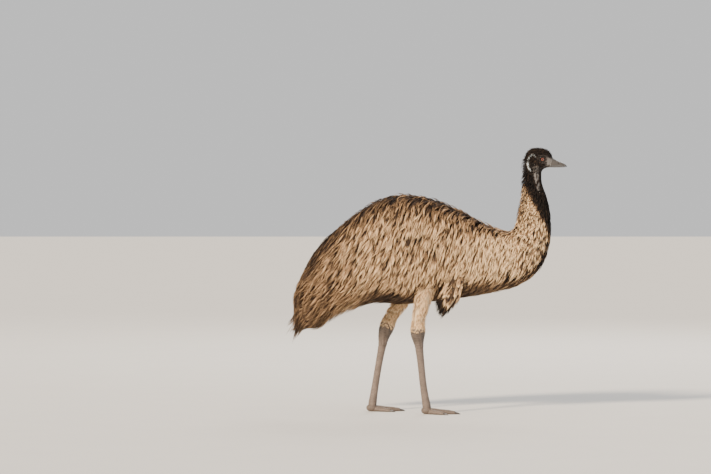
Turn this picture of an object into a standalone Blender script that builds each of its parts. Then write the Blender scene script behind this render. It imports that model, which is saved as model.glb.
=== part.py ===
"""A life-size standing emu, as a museum shows it: still, in mid stroll, looking along +X.

Metres, +Z up. +X is the way the bird faces and +Y is its left side. The origin is on the
floor, under the middle of the bird's bounding box.

The trunk, neck and head share one spine surface, worked out from a short list of stations.
Long plumage is built as overlapping tapered locks, rooted in the body and laid along the
lie of the feathers, which part on the back and droop down the flanks and over the tail.
"""

import math
import random
from collections import namedtuple

import bmesh
import bpy
import numpy as np
from mathutils import Vector

# Joints between neighbouring pieces
GAP = 0.0003
CARVE = 0.0005
CARVE_UNDER_LOCKS = 0.0011
SHARP_ANGLE = math.radians(35)

# Spine surface: the outline of the coat in side view, from the tail to the root of the bill.
# upper and lower are (x, z); core is the share of the outline that the body under the loose
# plumage takes up, and lean moves that body towards the lower or front edge (1 is flush).
Station = namedtuple("Station", "name upper lower half_width egg core lean")
SPINE = (
    Station("tail end", (-0.677, 0.520), (-0.636, 0.449), 0.045, 0.00, 0.45, 0.0),
    Station("tail", (-0.690, 0.597), (-0.570, 0.428), 0.104, -0.05, 0.52, 0.0),
    Station("rump droop", (-0.642, 0.717), (-0.489, 0.500), 0.146, -0.10, 0.66, 0.0),
    Station("rump", (-0.565, 0.841), (-0.427, 0.551), 0.178, -0.14, 0.80, 0.0),
    Station("rump top", (-0.453, 0.949), (-0.361, 0.571), 0.203, -0.16, 0.86, 0.0),
    Station("haunch", (-0.320, 1.046), (-0.259, 0.574), 0.221, -0.17, 0.90, 0.0),
    Station("back", (-0.198, 1.100), (-0.167, 0.566), 0.227, -0.17, 0.905, 0.0),
    Station("back high", (-0.086, 1.107), (-0.086, 0.564), 0.224, -0.16, 0.905, 0.0),
    Station("back front", (0.032, 1.082), (0.006, 0.571), 0.213, -0.15, 0.90, 0.0),
    Station("shoulder", (0.144, 1.036), (0.108, 0.586), 0.194, -0.13, 0.895, 0.0),
    Station("shoulder front", (0.261, 0.975), (0.231, 0.602), 0.169, -0.11, 0.885, 0.0),
    Station("neck root", (0.353, 0.938), (0.353, 0.622), 0.143, -0.09, 0.88, 0.1),
    Station("neck base", (0.401, 0.928), (0.465, 0.653), 0.121, -0.06, 0.87, 0.2),
    Station("neck turn", (0.427, 0.941), (0.567, 0.729), 0.099, -0.03, 0.86, 0.3),
    Station("neck low", (0.445, 0.979), (0.621, 0.867), 0.082, 0.00, 0.86, 0.3),
    Station("neck mid", (0.459, 1.040), (0.622, 1.005), 0.069, 0.00, 0.85, 0.4),
    Station("neck", (0.469, 1.107), (0.603, 1.096), 0.056, 0.00, 0.82, 0.6),
    Station("neck high", (0.474, 1.173), (0.577, 1.170), 0.044, 0.00, 0.80, 0.9),
    Station("throat", (0.473, 1.227), (0.573, 1.219), 0.038, 0.00, 0.80, 1.0),
    Station("nape", (0.474, 1.270), (0.577, 1.237), 0.037, 0.00, 0.83, 1.0),
    Station("occiput", (0.488, 1.313), (0.586, 1.246), 0.037, 0.00, 0.87, 1.0),
    Station("crown back", (0.516, 1.345), (0.597, 1.251), 0.037, 0.00, 0.90, 1.0),
    Station("crown", (0.557, 1.354), (0.606, 1.252), 0.036, 0.02, 0.92, 1.0),
    Station("forehead", (0.602, 1.336), (0.611, 1.2525), 0.030, 0.02, 0.95, 1.0),
    Station("bill root", (0.634, 1.300), (0.614, 1.253), 0.0205, 0.04, 1.0, 1.0),
)

# Where the spine surface is parted into nodes, as places along the list of stations
TAIL_END = 0.3
TAIL_FRONT = 3.5
TORSO_FRONT = 12.5
NECK_MIDDLE = 15.5
HEAD_BACK = 18.6
HEAD_FRONT = 24.0

# How high the body itself reaches in the coat: 0 under locks, 1 where feathers are short
SHORT_FEATHERS_FROM = (12.8, 15.4)
HEAD_FEATHERS_FROM = (16.3, 18.6)
FACE_FROM = (20.5, 23.5)

# The way the plumage lies, in side view, at places along the spine
LIE = (
    (0.0, (-0.62, -0.78)),
    (3.0, (-0.67, -0.74)),
    (5.0, (-0.55, -0.83)),
    (7.0, (-0.42, -0.91)),
    (10.0, (-0.42, -0.91)),
    (12.0, (-0.55, -0.84)),
    (14.0, (-0.22, -0.97)),
    (16.0, (-0.05, -1.00)),
)
RIDGE_WIDE = 0.75
PARTING = 0.75
PARTED_BACK = (3.0, 5.0, 12.5, 13.5)
HUG = 0.75
TIP_PLACE = 0.05

# Plumage locks: shape along one lock as (share of length, width, height in coat, thickness)
LOCK_SHAPE = (
    (0.00, 0.36, None, 0.9),
    (0.32, 1.00, 0.55, 1.0),
    (0.70, 0.78, 0.90, 0.8),
    (1.00, 0.00, 1.00, 0.0),
)
LOCK_ROOT_DEPTH = 0.012
LOCK_THICK = 0.20
LOCK_THINNEST = 0.004
EDGE_DROP = 0.08
LOCK_TURN = 0.09
LOCK_CURL = 0.16

# Rows of locks: angle from the back, first and last place, spacing, length, width
Row = namedtuple("Row", "angle back front spacing length width")
TORSO_ROWS = (
    Row(0.04, 3.9, 12.3, 0.132, 0.26, 0.090),
    Row(0.66, 3.8, 12.2, 0.122, 0.23, 0.088),
    Row(1.16, 3.7, 12.2, 0.116, 0.22, 0.086),
    Row(1.66, 3.8, 12.2, 0.112, 0.19, 0.084),
    Row(2.14, 4.0, 12.2, 0.110, 0.15, 0.082),
    Row(2.64, 8.6, 12.3, 0.114, 0.13, 0.080),
    Row(2.70, 4.2, 6.6, 0.120, 0.13, 0.080),
)
NECK_ROWS = (
    Row(0.30, 12.7, 14.8, 0.085, 0.18, 0.062),
    Row(1.05, 12.7, 14.8, 0.085, 0.19, 0.062),
    Row(1.80, 12.7, 14.8, 0.090, 0.19, 0.062),
    Row(2.60, 12.7, 14.8, 0.095, 0.16, 0.062),
)
TAIL_RINGS = (
    (3.00, 5, 0.21, 0.086),
    (2.20, 5, 0.18, 0.078),
    (1.45, 4, 0.14, 0.070),
    (0.80, 2, 0.085, 0.060),
)

# Locks over the wings and thighs end above them: a window in side view (x, x, z)
SHORT_OVER = (0.02, 0.18, 0.665)

# Head, in side view
EYE = (0.578, 1.294)
EYE_RADIUS = 0.0142
EYE_PROUD = 0.0030
LID_THICK = 0.0016
LID_OPENING = (0.0115, 0.0088)
BROW = (0.579, 1.3118)
BROW_SIZE = (0.021, 0.007, 0.0056)
EAR = (0.526, 1.284)
EAR_OPENING = (0.0058, 0.0072)
EAR_RIM = (0.0030, 0.0066)
GAPE = (0.584, 1.2592)
MOUTH_LINE = 0.0012
LIP_DEPTH = 0.007

# Bill: its root slants between two points, and each table is (share of length, top, bottom,
# half width)
BILL_ROOT_TOP = (0.634, 1.300)
BILL_ROOT_LOW = (0.614, 1.253)
BILL_TIP = 0.7035
UPPER_BILL = (
    (0.0, 1.2990, 1.2602, 0.0205),
    (0.25, 1.2890, 1.2607, 0.0188),
    (0.50, 1.2802, 1.2610, 0.0162),
    (0.72, 1.2735, 1.2604, 0.0132),
    (0.88, 1.2684, 1.2586, 0.0096),
    (0.97, 1.2632, 1.2562, 0.0056),
    (1.0, 1.2595, 1.2556, 0.0022),
)
LOWER_BILL = (
    (0.0, 1.2592, 1.2530, 0.0192),
    (0.30, 1.2597, 1.2524, 0.0172),
    (0.60, 1.2600, 1.2528, 0.0142),
    (0.82, 1.2588, 1.2536, 0.0100),
    (0.92, 1.2568, 1.2544, 0.0060),
)
NOSTRIL = (0.6620, 1.2738)
NOSTRIL_SIDE = 0.0150
NOSTRIL_SIZE = (0.0115, 0.0036, 0.0032)

# Legs: centre line as (x, y, z, half depth, half width), from inside the body to the foot
RIGHT, LEFT = -1.0, 1.0
NEAR_LEG = (
    (-0.008, 0.126, 0.675, 0.060, 0.048),
    (-0.018, 0.123, 0.635, 0.056, 0.046),
    (-0.030, 0.118, 0.590, 0.050, 0.042),
    (-0.044, 0.114, 0.535, 0.044, 0.038),
    (-0.054, 0.110, 0.478, 0.039, 0.035),
    (-0.057, 0.108, 0.437, 0.0375, 0.0335),
    (-0.0565, 0.107, 0.405, 0.0360, 0.0310),
    (-0.0540, 0.106, 0.372, 0.0270, 0.0250),
    (-0.0500, 0.105, 0.335, 0.0205, 0.0190),
    (-0.0410, 0.102, 0.255, 0.0175, 0.0160),
    (-0.0310, 0.099, 0.160, 0.0172, 0.0158),
    (-0.0200, 0.096, 0.085, 0.0188, 0.0185),
    (-0.0130, 0.095, 0.045, 0.0210, 0.0225),
    (-0.0100, 0.095, 0.0180, 0.0200, 0.0220),
)
FAR_LEG = (
    (-0.084, 0.126, 0.675, 0.060, 0.048),
    (-0.103, 0.123, 0.632, 0.056, 0.046),
    (-0.128, 0.118, 0.585, 0.050, 0.042),
    (-0.158, 0.114, 0.536, 0.044, 0.038),
    (-0.188, 0.110, 0.488, 0.039, 0.035),
    (-0.207, 0.108, 0.450, 0.0375, 0.0335),
    (-0.2190, 0.107, 0.415, 0.0360, 0.0310),
    (-0.2290, 0.106, 0.382, 0.0280, 0.0250),
    (-0.2370, 0.105, 0.335, 0.0205, 0.0190),
    (-0.2520, 0.102, 0.255, 0.0175, 0.0160),
    (-0.2680, 0.099, 0.160, 0.0172, 0.0158),
    (-0.2800, 0.096, 0.085, 0.0188, 0.0185),
    (-0.2860, 0.095, 0.045, 0.0210, 0.0225),
    (-0.2880, 0.095, 0.0180, 0.0200, 0.0220),
)
SOCK_END = 5
HOCK_END = 8
FOOT_TURN = 6.0

LIMB_POINTS = 10

# Raised plates on the front of the shank and on the toes
SHANK_SCUTES = 13
SCUTE_RAISE = 0.0018
SCUTE_STEP = 0.0006

# Toes: name, splay towards the other foot in degrees, length, half width, height, scutes
TOES = (
    ("middle", 0.0, 0.138, 0.0170, 0.0285, 5),
    ("inner", 31.0, 0.098, 0.0138, 0.0240, 3),
    ("outer", -33.0, 0.104, 0.0134, 0.0235, 3),
)
TOE_START = 0.004
CLAW_LENGTH = 0.030

# Toe and claw shapes: (share of length, share of half width, share of height)
TOE_PROFILE = (
    (0.0, 0.62, 0.66),
    (0.16, 1.00, 1.00),
    (0.45, 0.90, 0.84),
    (0.75, 0.84, 0.72),
    (1.0, 0.58, 0.52),
)
CLAW_PROFILE = ((0.0, 0.50, 0.48), (0.35, 0.46, 0.42), (0.70, 0.32, 0.28), (1.0, 0.08, 0.08))
TOE_PLATES_FROM = 0.12
TOE_MIDDLE, TOE_ROUND = 0.44, 0.61

# Wing: its arm in side view as (x, z, half width, half thickness), and the tips of its plumes
WING_ARM = (
    (0.158, 0.752, 0.016, 0.011),
    (0.148, 0.715, 0.024, 0.014),
    (0.132, 0.660, 0.031, 0.016),
    (0.112, 0.605, 0.030, 0.015),
    (0.092, 0.560, 0.021, 0.011),
    (0.082, 0.540, 0.008, 0.005),
)
WING_SIDE = (0.158, 0.140)
PLUME_TIPS = (
    (0.036, 0.590, -1),
    (0.030, 0.552, 1),
    (0.038, 0.518, -1),
    (0.057, 0.486, 1),
    (0.078, 0.502, -1),
    (0.104, 0.524, 1),
    (0.130, 0.548, -1),
    (0.148, 0.574, 1),
)
PLUME_WIDTH = 0.042
PLUME_THICK = 0.008

COLOURS = {
    "plumage": ((0.21, 0.155, 0.115), 0.85),
    "pale plumage": ((0.50, 0.40, 0.29), 0.85),
    "dark plumage": ((0.035, 0.028, 0.026), 0.80),
    "skin": ((0.20, 0.185, 0.18), 0.60),
    "leg": ((0.20, 0.155, 0.135), 0.55),
    "bill": ((0.20, 0.18, 0.165), 0.42),
    "claw": ((0.055, 0.048, 0.045), 0.38),
    "eye": ((0.10, 0.035, 0.012), 0.08),
}


def smooth_step(value):
    """0 below 0, 1 above 1, and smooth between."""
    t = np.clip(value, 0.0, 1.0)
    return t * t * (3.0 - 2.0 * t)


def unit(vectors):
    return vectors / np.linalg.norm(vectors, axis=-1, keepdims=True)


def spine_row(place):
    """The stations' sizes at any place along the list, on a Catmull-Rom curve."""
    rows = np.array(
        [(*s.upper, *s.lower, s.half_width, s.egg, s.core, s.lean) for s in SPINE]
    )
    rows = np.vstack((2 * rows[0] - rows[1], rows, 2 * rows[-1] - rows[-2]))
    place = np.atleast_1d(np.asarray(place, float))
    first = np.clip(np.floor(place).astype(int), 0, len(SPINE) - 2)
    t = (place - first)[:, None]
    p0, p1, p2, p3 = (rows[first + k] for k in range(4))
    return 0.5 * (
        2 * p1
        + (p2 - p0) * t
        + (2 * p0 - 5 * p1 + 4 * p2 - p3) * t**2
        + (3 * p1 - p0 - 3 * p2 + p3) * t**3
    )


def spine_point(place, angle, height):
    """Points on the spine surface. angle is 0 on the back and pi on the belly, positive on
    the left; height is 0 on the body under the locks and 1 on the outline of the coat."""
    row = spine_row(place)
    upper, lower = row[:, 0:2], row[:, 2:4]
    half_width, egg, core, lean = row[:, 4], row[:, 5], row[:, 6], row[:, 7]
    share = core + (1.0 - core) * height
    half = (upper - lower) / 2
    middle = (upper + lower) / 2 - half * ((1.0 - share) * lean)[:, None]
    rise = np.cos(angle) * share
    side = np.sin(angle) * (1.0 + egg * np.cos(angle)) * share * half_width
    flat = middle + half * rise[:, None]
    return np.column_stack((flat[:, 0], side, flat[:, 1]))


def spine_middle(place):
    row = spine_row(place)
    flat = (row[:, 0:2] + row[:, 2:4]) / 2
    return np.column_stack((flat[:, 0], np.zeros(len(flat)), flat[:, 1]))


def body_height(place, angle):
    """How high the body itself reaches in the coat, without the locks."""
    first, last = SHORT_FEATHERS_FROM
    neck = smooth_step((place - first) / (last - first))
    first, last = HEAD_FEATHERS_FROM
    on_head = smooth_step((place - first) / (last - first))
    first, last = FACE_FROM
    crown = 0.85 * (1.0 - smooth_step((place - first) / (last - first)))
    head = crown * smooth_step(1.4 * np.cos(angle))
    return neck * (1.0 - on_head) + head * on_head


def surface_frame(place, angle, height):
    """A point of the surface, its outward normal, and its change along and round the spine."""
    step = 0.02
    at = spine_point(place, angle, height)
    along = (spine_point(place + step, angle, height) - at) / step
    around = (spine_point(place, angle + step, height) - at) / step
    normal = unit(np.cross(along, around))
    return at, normal, along, around


def surface_steps(along, around, move):
    """The changes of place and angle that move a point of the surface by a vector."""
    a, b, c = (along**2).sum(1), (along * around).sum(1), (around**2).sum(1)
    p, q = (along * move).sum(1), (around * move).sum(1)
    spread = a * c - b * b
    return (p * c - q * b) / spread, (q * a - p * b) / spread


def lie_of(place, angle):
    """The way the plumage lies: backwards along the ridge of the back, drooping beside it."""
    places = [p for p, _ in LIE]
    x = np.interp(place, places, [d[0] for _, d in LIE])
    z = np.interp(place, places, [d[1] for _, d in LIE])
    flank = unit(np.column_stack((x, np.zeros(len(x)), z)))
    ridge, flat = np.zeros(len(x)), np.zeros(len(x))
    back = unit(spine_point(place - 0.1, ridge, flat) - spine_point(place + 0.1, ridge, flat))
    beside = smooth_step(np.abs(angle) / RIDGE_WIDE)[:, None]
    way = back * (1.0 - beside) + flank * beside
    rear, full, fading, front = PARTED_BACK
    parted_here = smooth_step((place - rear) / (full - rear))
    parted_here = parted_here * smooth_step((front - place) / (front - fading))
    outward = np.sign(angle) * PARTING * parted_here * np.maximum(np.cos(angle), 0.0)
    way[:, 1] += outward
    return unit(way)


def link(obj, colour):
    """Puts an object in the bird's collection with its material."""
    bpy.data.collections["emu"].objects.link(obj)
    obj.data.materials.clear()
    obj.data.materials.append(bpy.data.materials[colour])


def mesh_object(name, points, faces):
    mesh = bpy.data.meshes.new(name)
    mesh.from_pydata([tuple(map(float, p)) for p in points], [], faces)
    mesh.update()
    return bpy.data.objects.new(name, mesh)


def facing_out(obj):
    """Turns a closed mesh the right way out."""
    volume = 0.0
    for face in obj.data.polygons:
        a, b, c = (obj.data.vertices[i].co for i in face.vertices[:3])
        volume += a.dot(b.cross(c))
    if volume < 0:
        obj.data.flip_normals()
    return obj


def loft(name, rings):
    """A closed mesh through rings of the same number of points, with a fan at each end."""
    count = len(rings[0])
    points = [p for ring in rings for p in ring]
    points += [np.mean(rings[0], axis=0), np.mean(rings[-1], axis=0)]
    first_hub, last_hub = len(points) - 2, len(points) - 1
    faces = []
    for r in range(len(rings) - 1):
        low, high = r * count, (r + 1) * count
        for k in range(count):
            n = (k + 1) % count
            faces.append((low + k, low + n, high + n))
            faces.append((low + k, high + n, high + k))
    last = (len(rings) - 1) * count
    for k in range(count):
        n = (k + 1) % count
        faces.append((first_hub, n, k))
        faces.append((last_hub, last + k, last + n))
    return facing_out(mesh_object(name, points, faces))


def spine_rings(back, front, points, spacing):
    """Rings of the body between two places, drawn in by half the joint gap at each end."""
    middles = spine_middle(np.linspace(back, front, 60))
    length = np.linalg.norm(np.diff(middles, axis=0), axis=1).sum()
    count = max(4, int(round(length / spacing)) + 1)
    angles = np.arange(points) * 2 * math.pi / points
    rings = []
    for place in np.linspace(back, front, count):
        places = np.full(points, place)
        rings.append(spine_point(places, angles, body_height(places, angles)))
    rings[0] = rings[0] + spine_way(back) * GAP / 2
    rings[-1] = rings[-1] - spine_way(front) * GAP / 2
    return rings


def spine_way(place):
    """The direction square to a ring of the spine surface, towards the head."""
    row = spine_row(place)[0]
    along = Vector((row[0] - row[2], 0.0, row[1] - row[3])).normalized()
    way = Vector((0.0, 1.0, 0.0)).cross(along)
    ahead = spine_middle([place + 0.05])[0] - spine_middle([place - 0.05])[0]
    if way.dot(Vector(ahead)) < 0:
        way = -way
    return np.array(way)


def limb_rings(stations, side, points=LIMB_POINTS):
    """Elliptical rings square to a centre line given as (x, y, z, half depth, half width)."""
    line = np.array([(x, side * y, z) for x, y, z, _, _ in stations])
    ways = np.gradient(line, axis=0)
    rings = []
    for centre, way, (_, _, _, depth, width) in zip(line, ways, stations):
        way = Vector(way).normalized()
        fore = Vector((0.0, 1.0, 0.0)).cross(way).normalized()
        across = way.cross(fore)
        ring = []
        for k in range(points):
            a = 2 * math.pi * k / points
            offset = fore * math.cos(a) * depth + across * math.sin(a) * width
            ring.append(np.array(Vector(centre) + offset))
        rings.append(np.array(ring))
    return rings


def swollen(obj, by=CARVE):
    """A helper copy of a closed mesh, pushed out along its normals, to cut room for it."""
    copy = obj.copy()
    copy.data = obj.data.copy()
    normals = [v.normal.copy() for v in copy.data.vertices]
    for vertex, normal in zip(copy.data.vertices, normals):
        vertex.co += normal * by
    return copy


def combine(base, others, operation, solver="EXACT"):
    """One Boolean of base with a list of closed meshes, applied; the others are removed."""
    group = bpy.data.collections.new("cutters")
    bpy.context.scene.collection.children.link(group)
    for other in others:
        group.objects.link(other)
    loose = base.name not in bpy.context.scene.objects
    if loose:
        bpy.context.scene.collection.objects.link(base)
    modifier = base.modifiers.new("join", "BOOLEAN")
    modifier.operation = operation
    modifier.solver = solver
    modifier.operand_type = "COLLECTION"
    modifier.collection = group
    graph = bpy.context.evaluated_depsgraph_get()
    made = bpy.data.meshes.new_from_object(base.evaluated_get(graph))
    base.modifiers.remove(modifier)
    base.data = made
    if loose:
        bpy.context.scene.collection.objects.unlink(base)
    for other in others:
        bpy.data.objects.remove(other)
    bpy.data.collections.remove(group)
    return keep_largest(base)


def keep_largest(obj):
    """Drops every closed surface of a mesh but the one with the largest volume."""
    mesh = obj.data
    owner = list(range(len(mesh.polygons)))

    def root(i):
        while owner[i] != i:
            owner[i] = owner[owner[i]]
            i = owner[i]
        return i

    beside = {}
    for face in mesh.polygons:
        for edge in face.edge_keys:
            beside.setdefault(edge, []).append(face.index)
    for faces in beside.values():
        if len(faces) == 2:
            owner[root(faces[0])] = root(faces[1])
    volumes = {}
    for face in mesh.polygons:
        corners = [mesh.vertices[i].co for i in face.vertices]
        for k in range(1, len(corners) - 1):
            part = corners[0].dot(corners[k].cross(corners[k + 1]))
            volumes[root(face.index)] = volumes.get(root(face.index), 0.0) + part
    best = max(volumes, key=volumes.get)
    faces = [tuple(f.vertices) for f in mesh.polygons if root(f.index) == best]
    used = sorted({i for f in faces for i in f})
    index = {old: new for new, old in enumerate(used)}
    clean = bpy.data.meshes.new(mesh.name)
    clean.from_pydata(
        [mesh.vertices[i].co[:] for i in used],
        [],
        [tuple(index[i] for i in f) for f in faces],
    )
    clean.update()
    for material in mesh.materials:
        clean.materials.append(material)
    obj.data = clean
    return obj


def off_scene(name):
    """Takes the object that an operator just made out of its collection and names it."""
    obj = bpy.context.object
    obj.name = name
    for collection in list(obj.users_collection):
        collection.objects.unlink(obj)
    return obj


def ball(name, centre, radii, segments=16, rings=10):
    """An ellipsoid from Blender's own sphere."""
    bpy.ops.mesh.primitive_uv_sphere_add(segments=segments, ring_count=rings, radius=1.0)
    obj = off_scene(name)
    for vertex in obj.data.vertices:
        vertex.co = Vector(c + v * r for c, v, r in zip(centre, vertex.co, radii))
    obj.data.update()
    return obj


def block(name, low, high):
    bpy.ops.mesh.primitive_cube_add(size=1.0)
    obj = off_scene(name)
    for vertex in obj.data.vertices:
        vertex.co = Vector(
            a + (v + 0.5) * (b - a) for a, v, b in zip(low, vertex.co, high)
        )
    obj.data.update()
    return obj


def lock_mesh(name, sections, tip):
    """One lock: sections of four points (edge, ridge, edge, keel) that end in a tip."""
    points = [p for section in sections for p in section] + [tip]
    last = (len(sections) - 1) * 4
    faces = [(0, 1, 2, 3)]
    for low in range(0, last, 4):
        high = low + 4
        for edge in (0, 2):
            for face in (1, 3):
                faces.append((low + edge, low + face, high + face))
                faces.append((low + edge, high + face, high + edge))
    for k in range(4):
        faces.append((last + k, last + (k + 1) % 4, len(points) - 1))
    obj = mesh_object(name, points, faces)
    mend_normals(obj)
    return obj


def mend_normals(obj):
    """Makes the faces of a small closed mesh agree and point outwards."""
    shape = bmesh.new()
    shape.from_mesh(obj.data)
    bmesh.ops.recalc_face_normals(shape, faces=shape.faces)
    shape.to_mesh(obj.data)
    shape.free()
    obj.data.update()


def clear_of_wings(place, angle, length):
    """Shorter lengths for the locks that would hang down over a wing or a thigh's top."""
    root = spine_point(place, angle, np.zeros(len(place)))
    way = lie_of(place, angle)
    low_x, high_x, top_z = SHORT_OVER
    tip_x = root[:, 0] + way[:, 0] * length
    over = (tip_x > low_x) & (tip_x < high_x) & (np.abs(angle) > 1.2) & (np.abs(angle) < 2.3)
    most = np.maximum(root[:, 2] - top_z, 0.06) / -way[:, 2]
    return np.where(over, np.minimum(length, most), length)


def plumage_locks(name, roots, dice):
    """Locks laid on the spine surface. roots holds (place, angle, length, width) for each."""
    place, angle, length, width = (np.array(c, float) for c in zip(*roots))
    length = clear_of_wings(place, angle, length)
    count = len(place)
    turn = np.array([dice.uniform(-LOCK_TURN, LOCK_TURN) for _ in range(count)])
    curl = np.array([dice.uniform(-LOCK_CURL, LOCK_CURL) for _ in range(count)])
    base = body_height(place, angle)
    depth = spine_point(place, angle, np.ones(count)) - spine_point(place, angle, base)
    thickness = np.maximum(np.linalg.norm(depth, axis=1) * LOCK_THICK, LOCK_THINNEST)
    drift = np.zeros((count, 3))
    before = 0.0
    sections = []
    for share, wide, high, thick in LOCK_SHAPE:
        _, normal, along, around = surface_frame(place, angle, base)
        want = lie_of(place, angle)
        into = (want * normal).sum(1)
        free = np.where(place <= TIP_PLACE, 0.0, np.where(into < 0, 1.0, HUG))
        want = want - normal * (into * free)[:, None]
        side = unit(np.cross(normal, want))
        want = unit(unit(want) + side * (turn + curl * share)[:, None])
        move = want * ((share - before) * length)[:, None]
        d_place, d_angle = surface_steps(along, around, move)
        past = np.maximum(TIP_PLACE - (place + d_place), 0.0)
        on_body = 1.0 - np.clip(past / np.maximum(-d_place, 1e-6), 0.0, 1.0)
        place, angle = place + d_place * on_body, angle + d_angle * on_body
        drift += normal * np.maximum((move * normal).sum(1) * on_body, 0.0)[:, None]
        drift += move * (1.0 - on_body)[:, None]
        before = share
        base = np.maximum(body_height(place, angle), base)
        height = base if high is None else base + (1.0 - base) * high
        at, normal, along, around = surface_frame(place, angle, height)
        shift = drift - normal * (LOCK_ROOT_DEPTH if high is None else 0.0)
        side = unit(np.cross(normal, want))
        reach = side * (width * wide / 2)[:, None]
        drop = 0.0 if high is None else EDGE_DROP * (1.0 - base)
        edges = []
        for way in (1.0, -1.0):
            d_place, d_angle = surface_steps(along, around, reach * way)
            edges.append(spine_point(place + d_place, angle + d_angle, height - drop) + shift)
        lift = normal * (thickness * thick / 2)[:, None]
        sections.append((edges[0], at + shift + lift, edges[1], at + shift - lift))
    locks = []
    for k in range(count):
        rings = [[points[k] for points in section] for section in sections]
        locks.append(lock_mesh(f"{name} lock {k}", rings[:-1], rings[-1][1]))
    return locks


def row_roots(rows, dice):
    """Roots along rows on both sides, evenly spaced over the surface and staggered."""
    roots = []
    for index, row in enumerate(rows):
        places = np.linspace(row.back, row.front, 200)
        line = spine_point(places, np.full(200, row.angle), np.zeros(200))
        run = np.concatenate(([0], np.cumsum(np.linalg.norm(np.diff(line, axis=0), axis=1))))
        count = int(run[-1] / row.spacing) + 1
        offset = 0.5 * row.spacing * (index % 2)
        for side in (RIGHT, LEFT):
            for k in range(count):
                jitter = dice.uniform(-0.1, 0.1) * row.spacing
                at = k * row.spacing + offset + side * 0.25 * row.spacing + jitter
                if not 0.0 <= at <= run[-1]:
                    continue
                place = float(np.interp(at, run, places))
                angle = side * abs(row.angle + dice.uniform(-0.04, 0.04))
                length = row.length * dice.uniform(0.92, 1.08)
                roots.append((place, angle, length, row.width))
    return roots


def ring_roots(rings, dice):
    """Roots in rings round the tail, the same number on both sides, staggered."""
    roots = []
    for index, (place, count, length, width) in enumerate(rings):
        for side in (RIGHT, LEFT):
            for k in range(count):
                share = (k + (0.5 if index % 2 else 0.25)) / count
                angle = side * math.pi * share
                at = place + dice.uniform(-0.06, 0.06)
                roots.append((at, angle, length * dice.uniform(0.93, 1.07), width))
    return roots


def carve(obj, neighbours):
    """Cuts room for neighbouring pieces out of an object."""
    return combine(obj, [swollen(n) for n in neighbours], "DIFFERENCE")


def make_plumage():
    """Tail, torso and lower neck, each one body with its locks."""
    dice = random.Random(7)
    neck_locks = plumage_locks("neck", row_roots(NECK_ROWS, dice), dice)
    torso_locks = plumage_locks("torso", row_roots(TORSO_ROWS, dice), dice)
    tail_locks = plumage_locks("tail", ring_roots(TAIL_RINGS, dice), dice)
    neck = loft("neck_lower", spine_rings(TORSO_FRONT, NECK_MIDDLE, 22, 0.05))
    torso = loft("torso", spine_rings(TAIL_FRONT, TORSO_FRONT, 26, 0.06))
    tail = loft("tail", spine_rings(TAIL_END, TAIL_FRONT, 22, 0.05))
    over_torso = [swollen(lock, CARVE_UNDER_LOCKS) for lock in neck_locks]
    over_tail = [swollen(lock, CARVE_UNDER_LOCKS) for lock in torso_locks if reaches_tail(lock)]
    # The locks crowd at the tail's end, where the exact solver leaves edges that touch
    combine(neck, neck_locks, "UNION")
    combine(torso, torso_locks, "UNION")
    combine(tail, tail_locks, "UNION", "MANIFOLD")
    combine(torso, over_torso, "DIFFERENCE")
    combine(tail, over_tail, "DIFFERENCE", "MANIFOLD")
    carve(torso, [neck])
    combine(tail, [swollen(torso)], "DIFFERENCE", "MANIFOLD")
    link(neck, "pale plumage")
    link(torso, "plumage")
    link(tail, "plumage")


def reaches_tail(lock):
    """Whether a lock passes the joint between torso and tail."""
    joint = spine_middle([TAIL_FRONT])[0]
    way = spine_way(TAIL_FRONT)
    return any((np.array(v.co) - joint).dot(way) < 0.02 for v in lock.data.vertices)


def make_upper_neck():
    upper = loft("neck_upper", spine_rings(NECK_MIDDLE, HEAD_BACK, 22, 0.03))
    link(upper, "dark plumage")


def head_side(x, z):
    """How far out the bare surface of the head lies at a point in side view."""
    places = np.linspace(HEAD_BACK, HEAD_FRONT, 400)
    row = spine_row(places)
    upper, lower, core, lean = row[:, 0:2], row[:, 2:4], row[:, 6], row[:, 7]
    half = (upper - lower) / 2
    middle = (upper + lower) / 2 - half * ((1.0 - core) * lean)[:, None]
    offset = np.array((x, z)) - middle
    length = np.linalg.norm(half, axis=1)
    rise = (offset * half).sum(1) / length**2 / core
    miss = np.abs(offset[:, 0] * half[:, 1] - offset[:, 1] * half[:, 0]) / length
    best = int(np.argmin(np.where(np.abs(rise) < 1, miss, 1.0)))
    angle = math.acos(rise[best])
    return spine_point(places[best : best + 1], np.array([angle]), np.zeros(1))[0][1]


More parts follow.
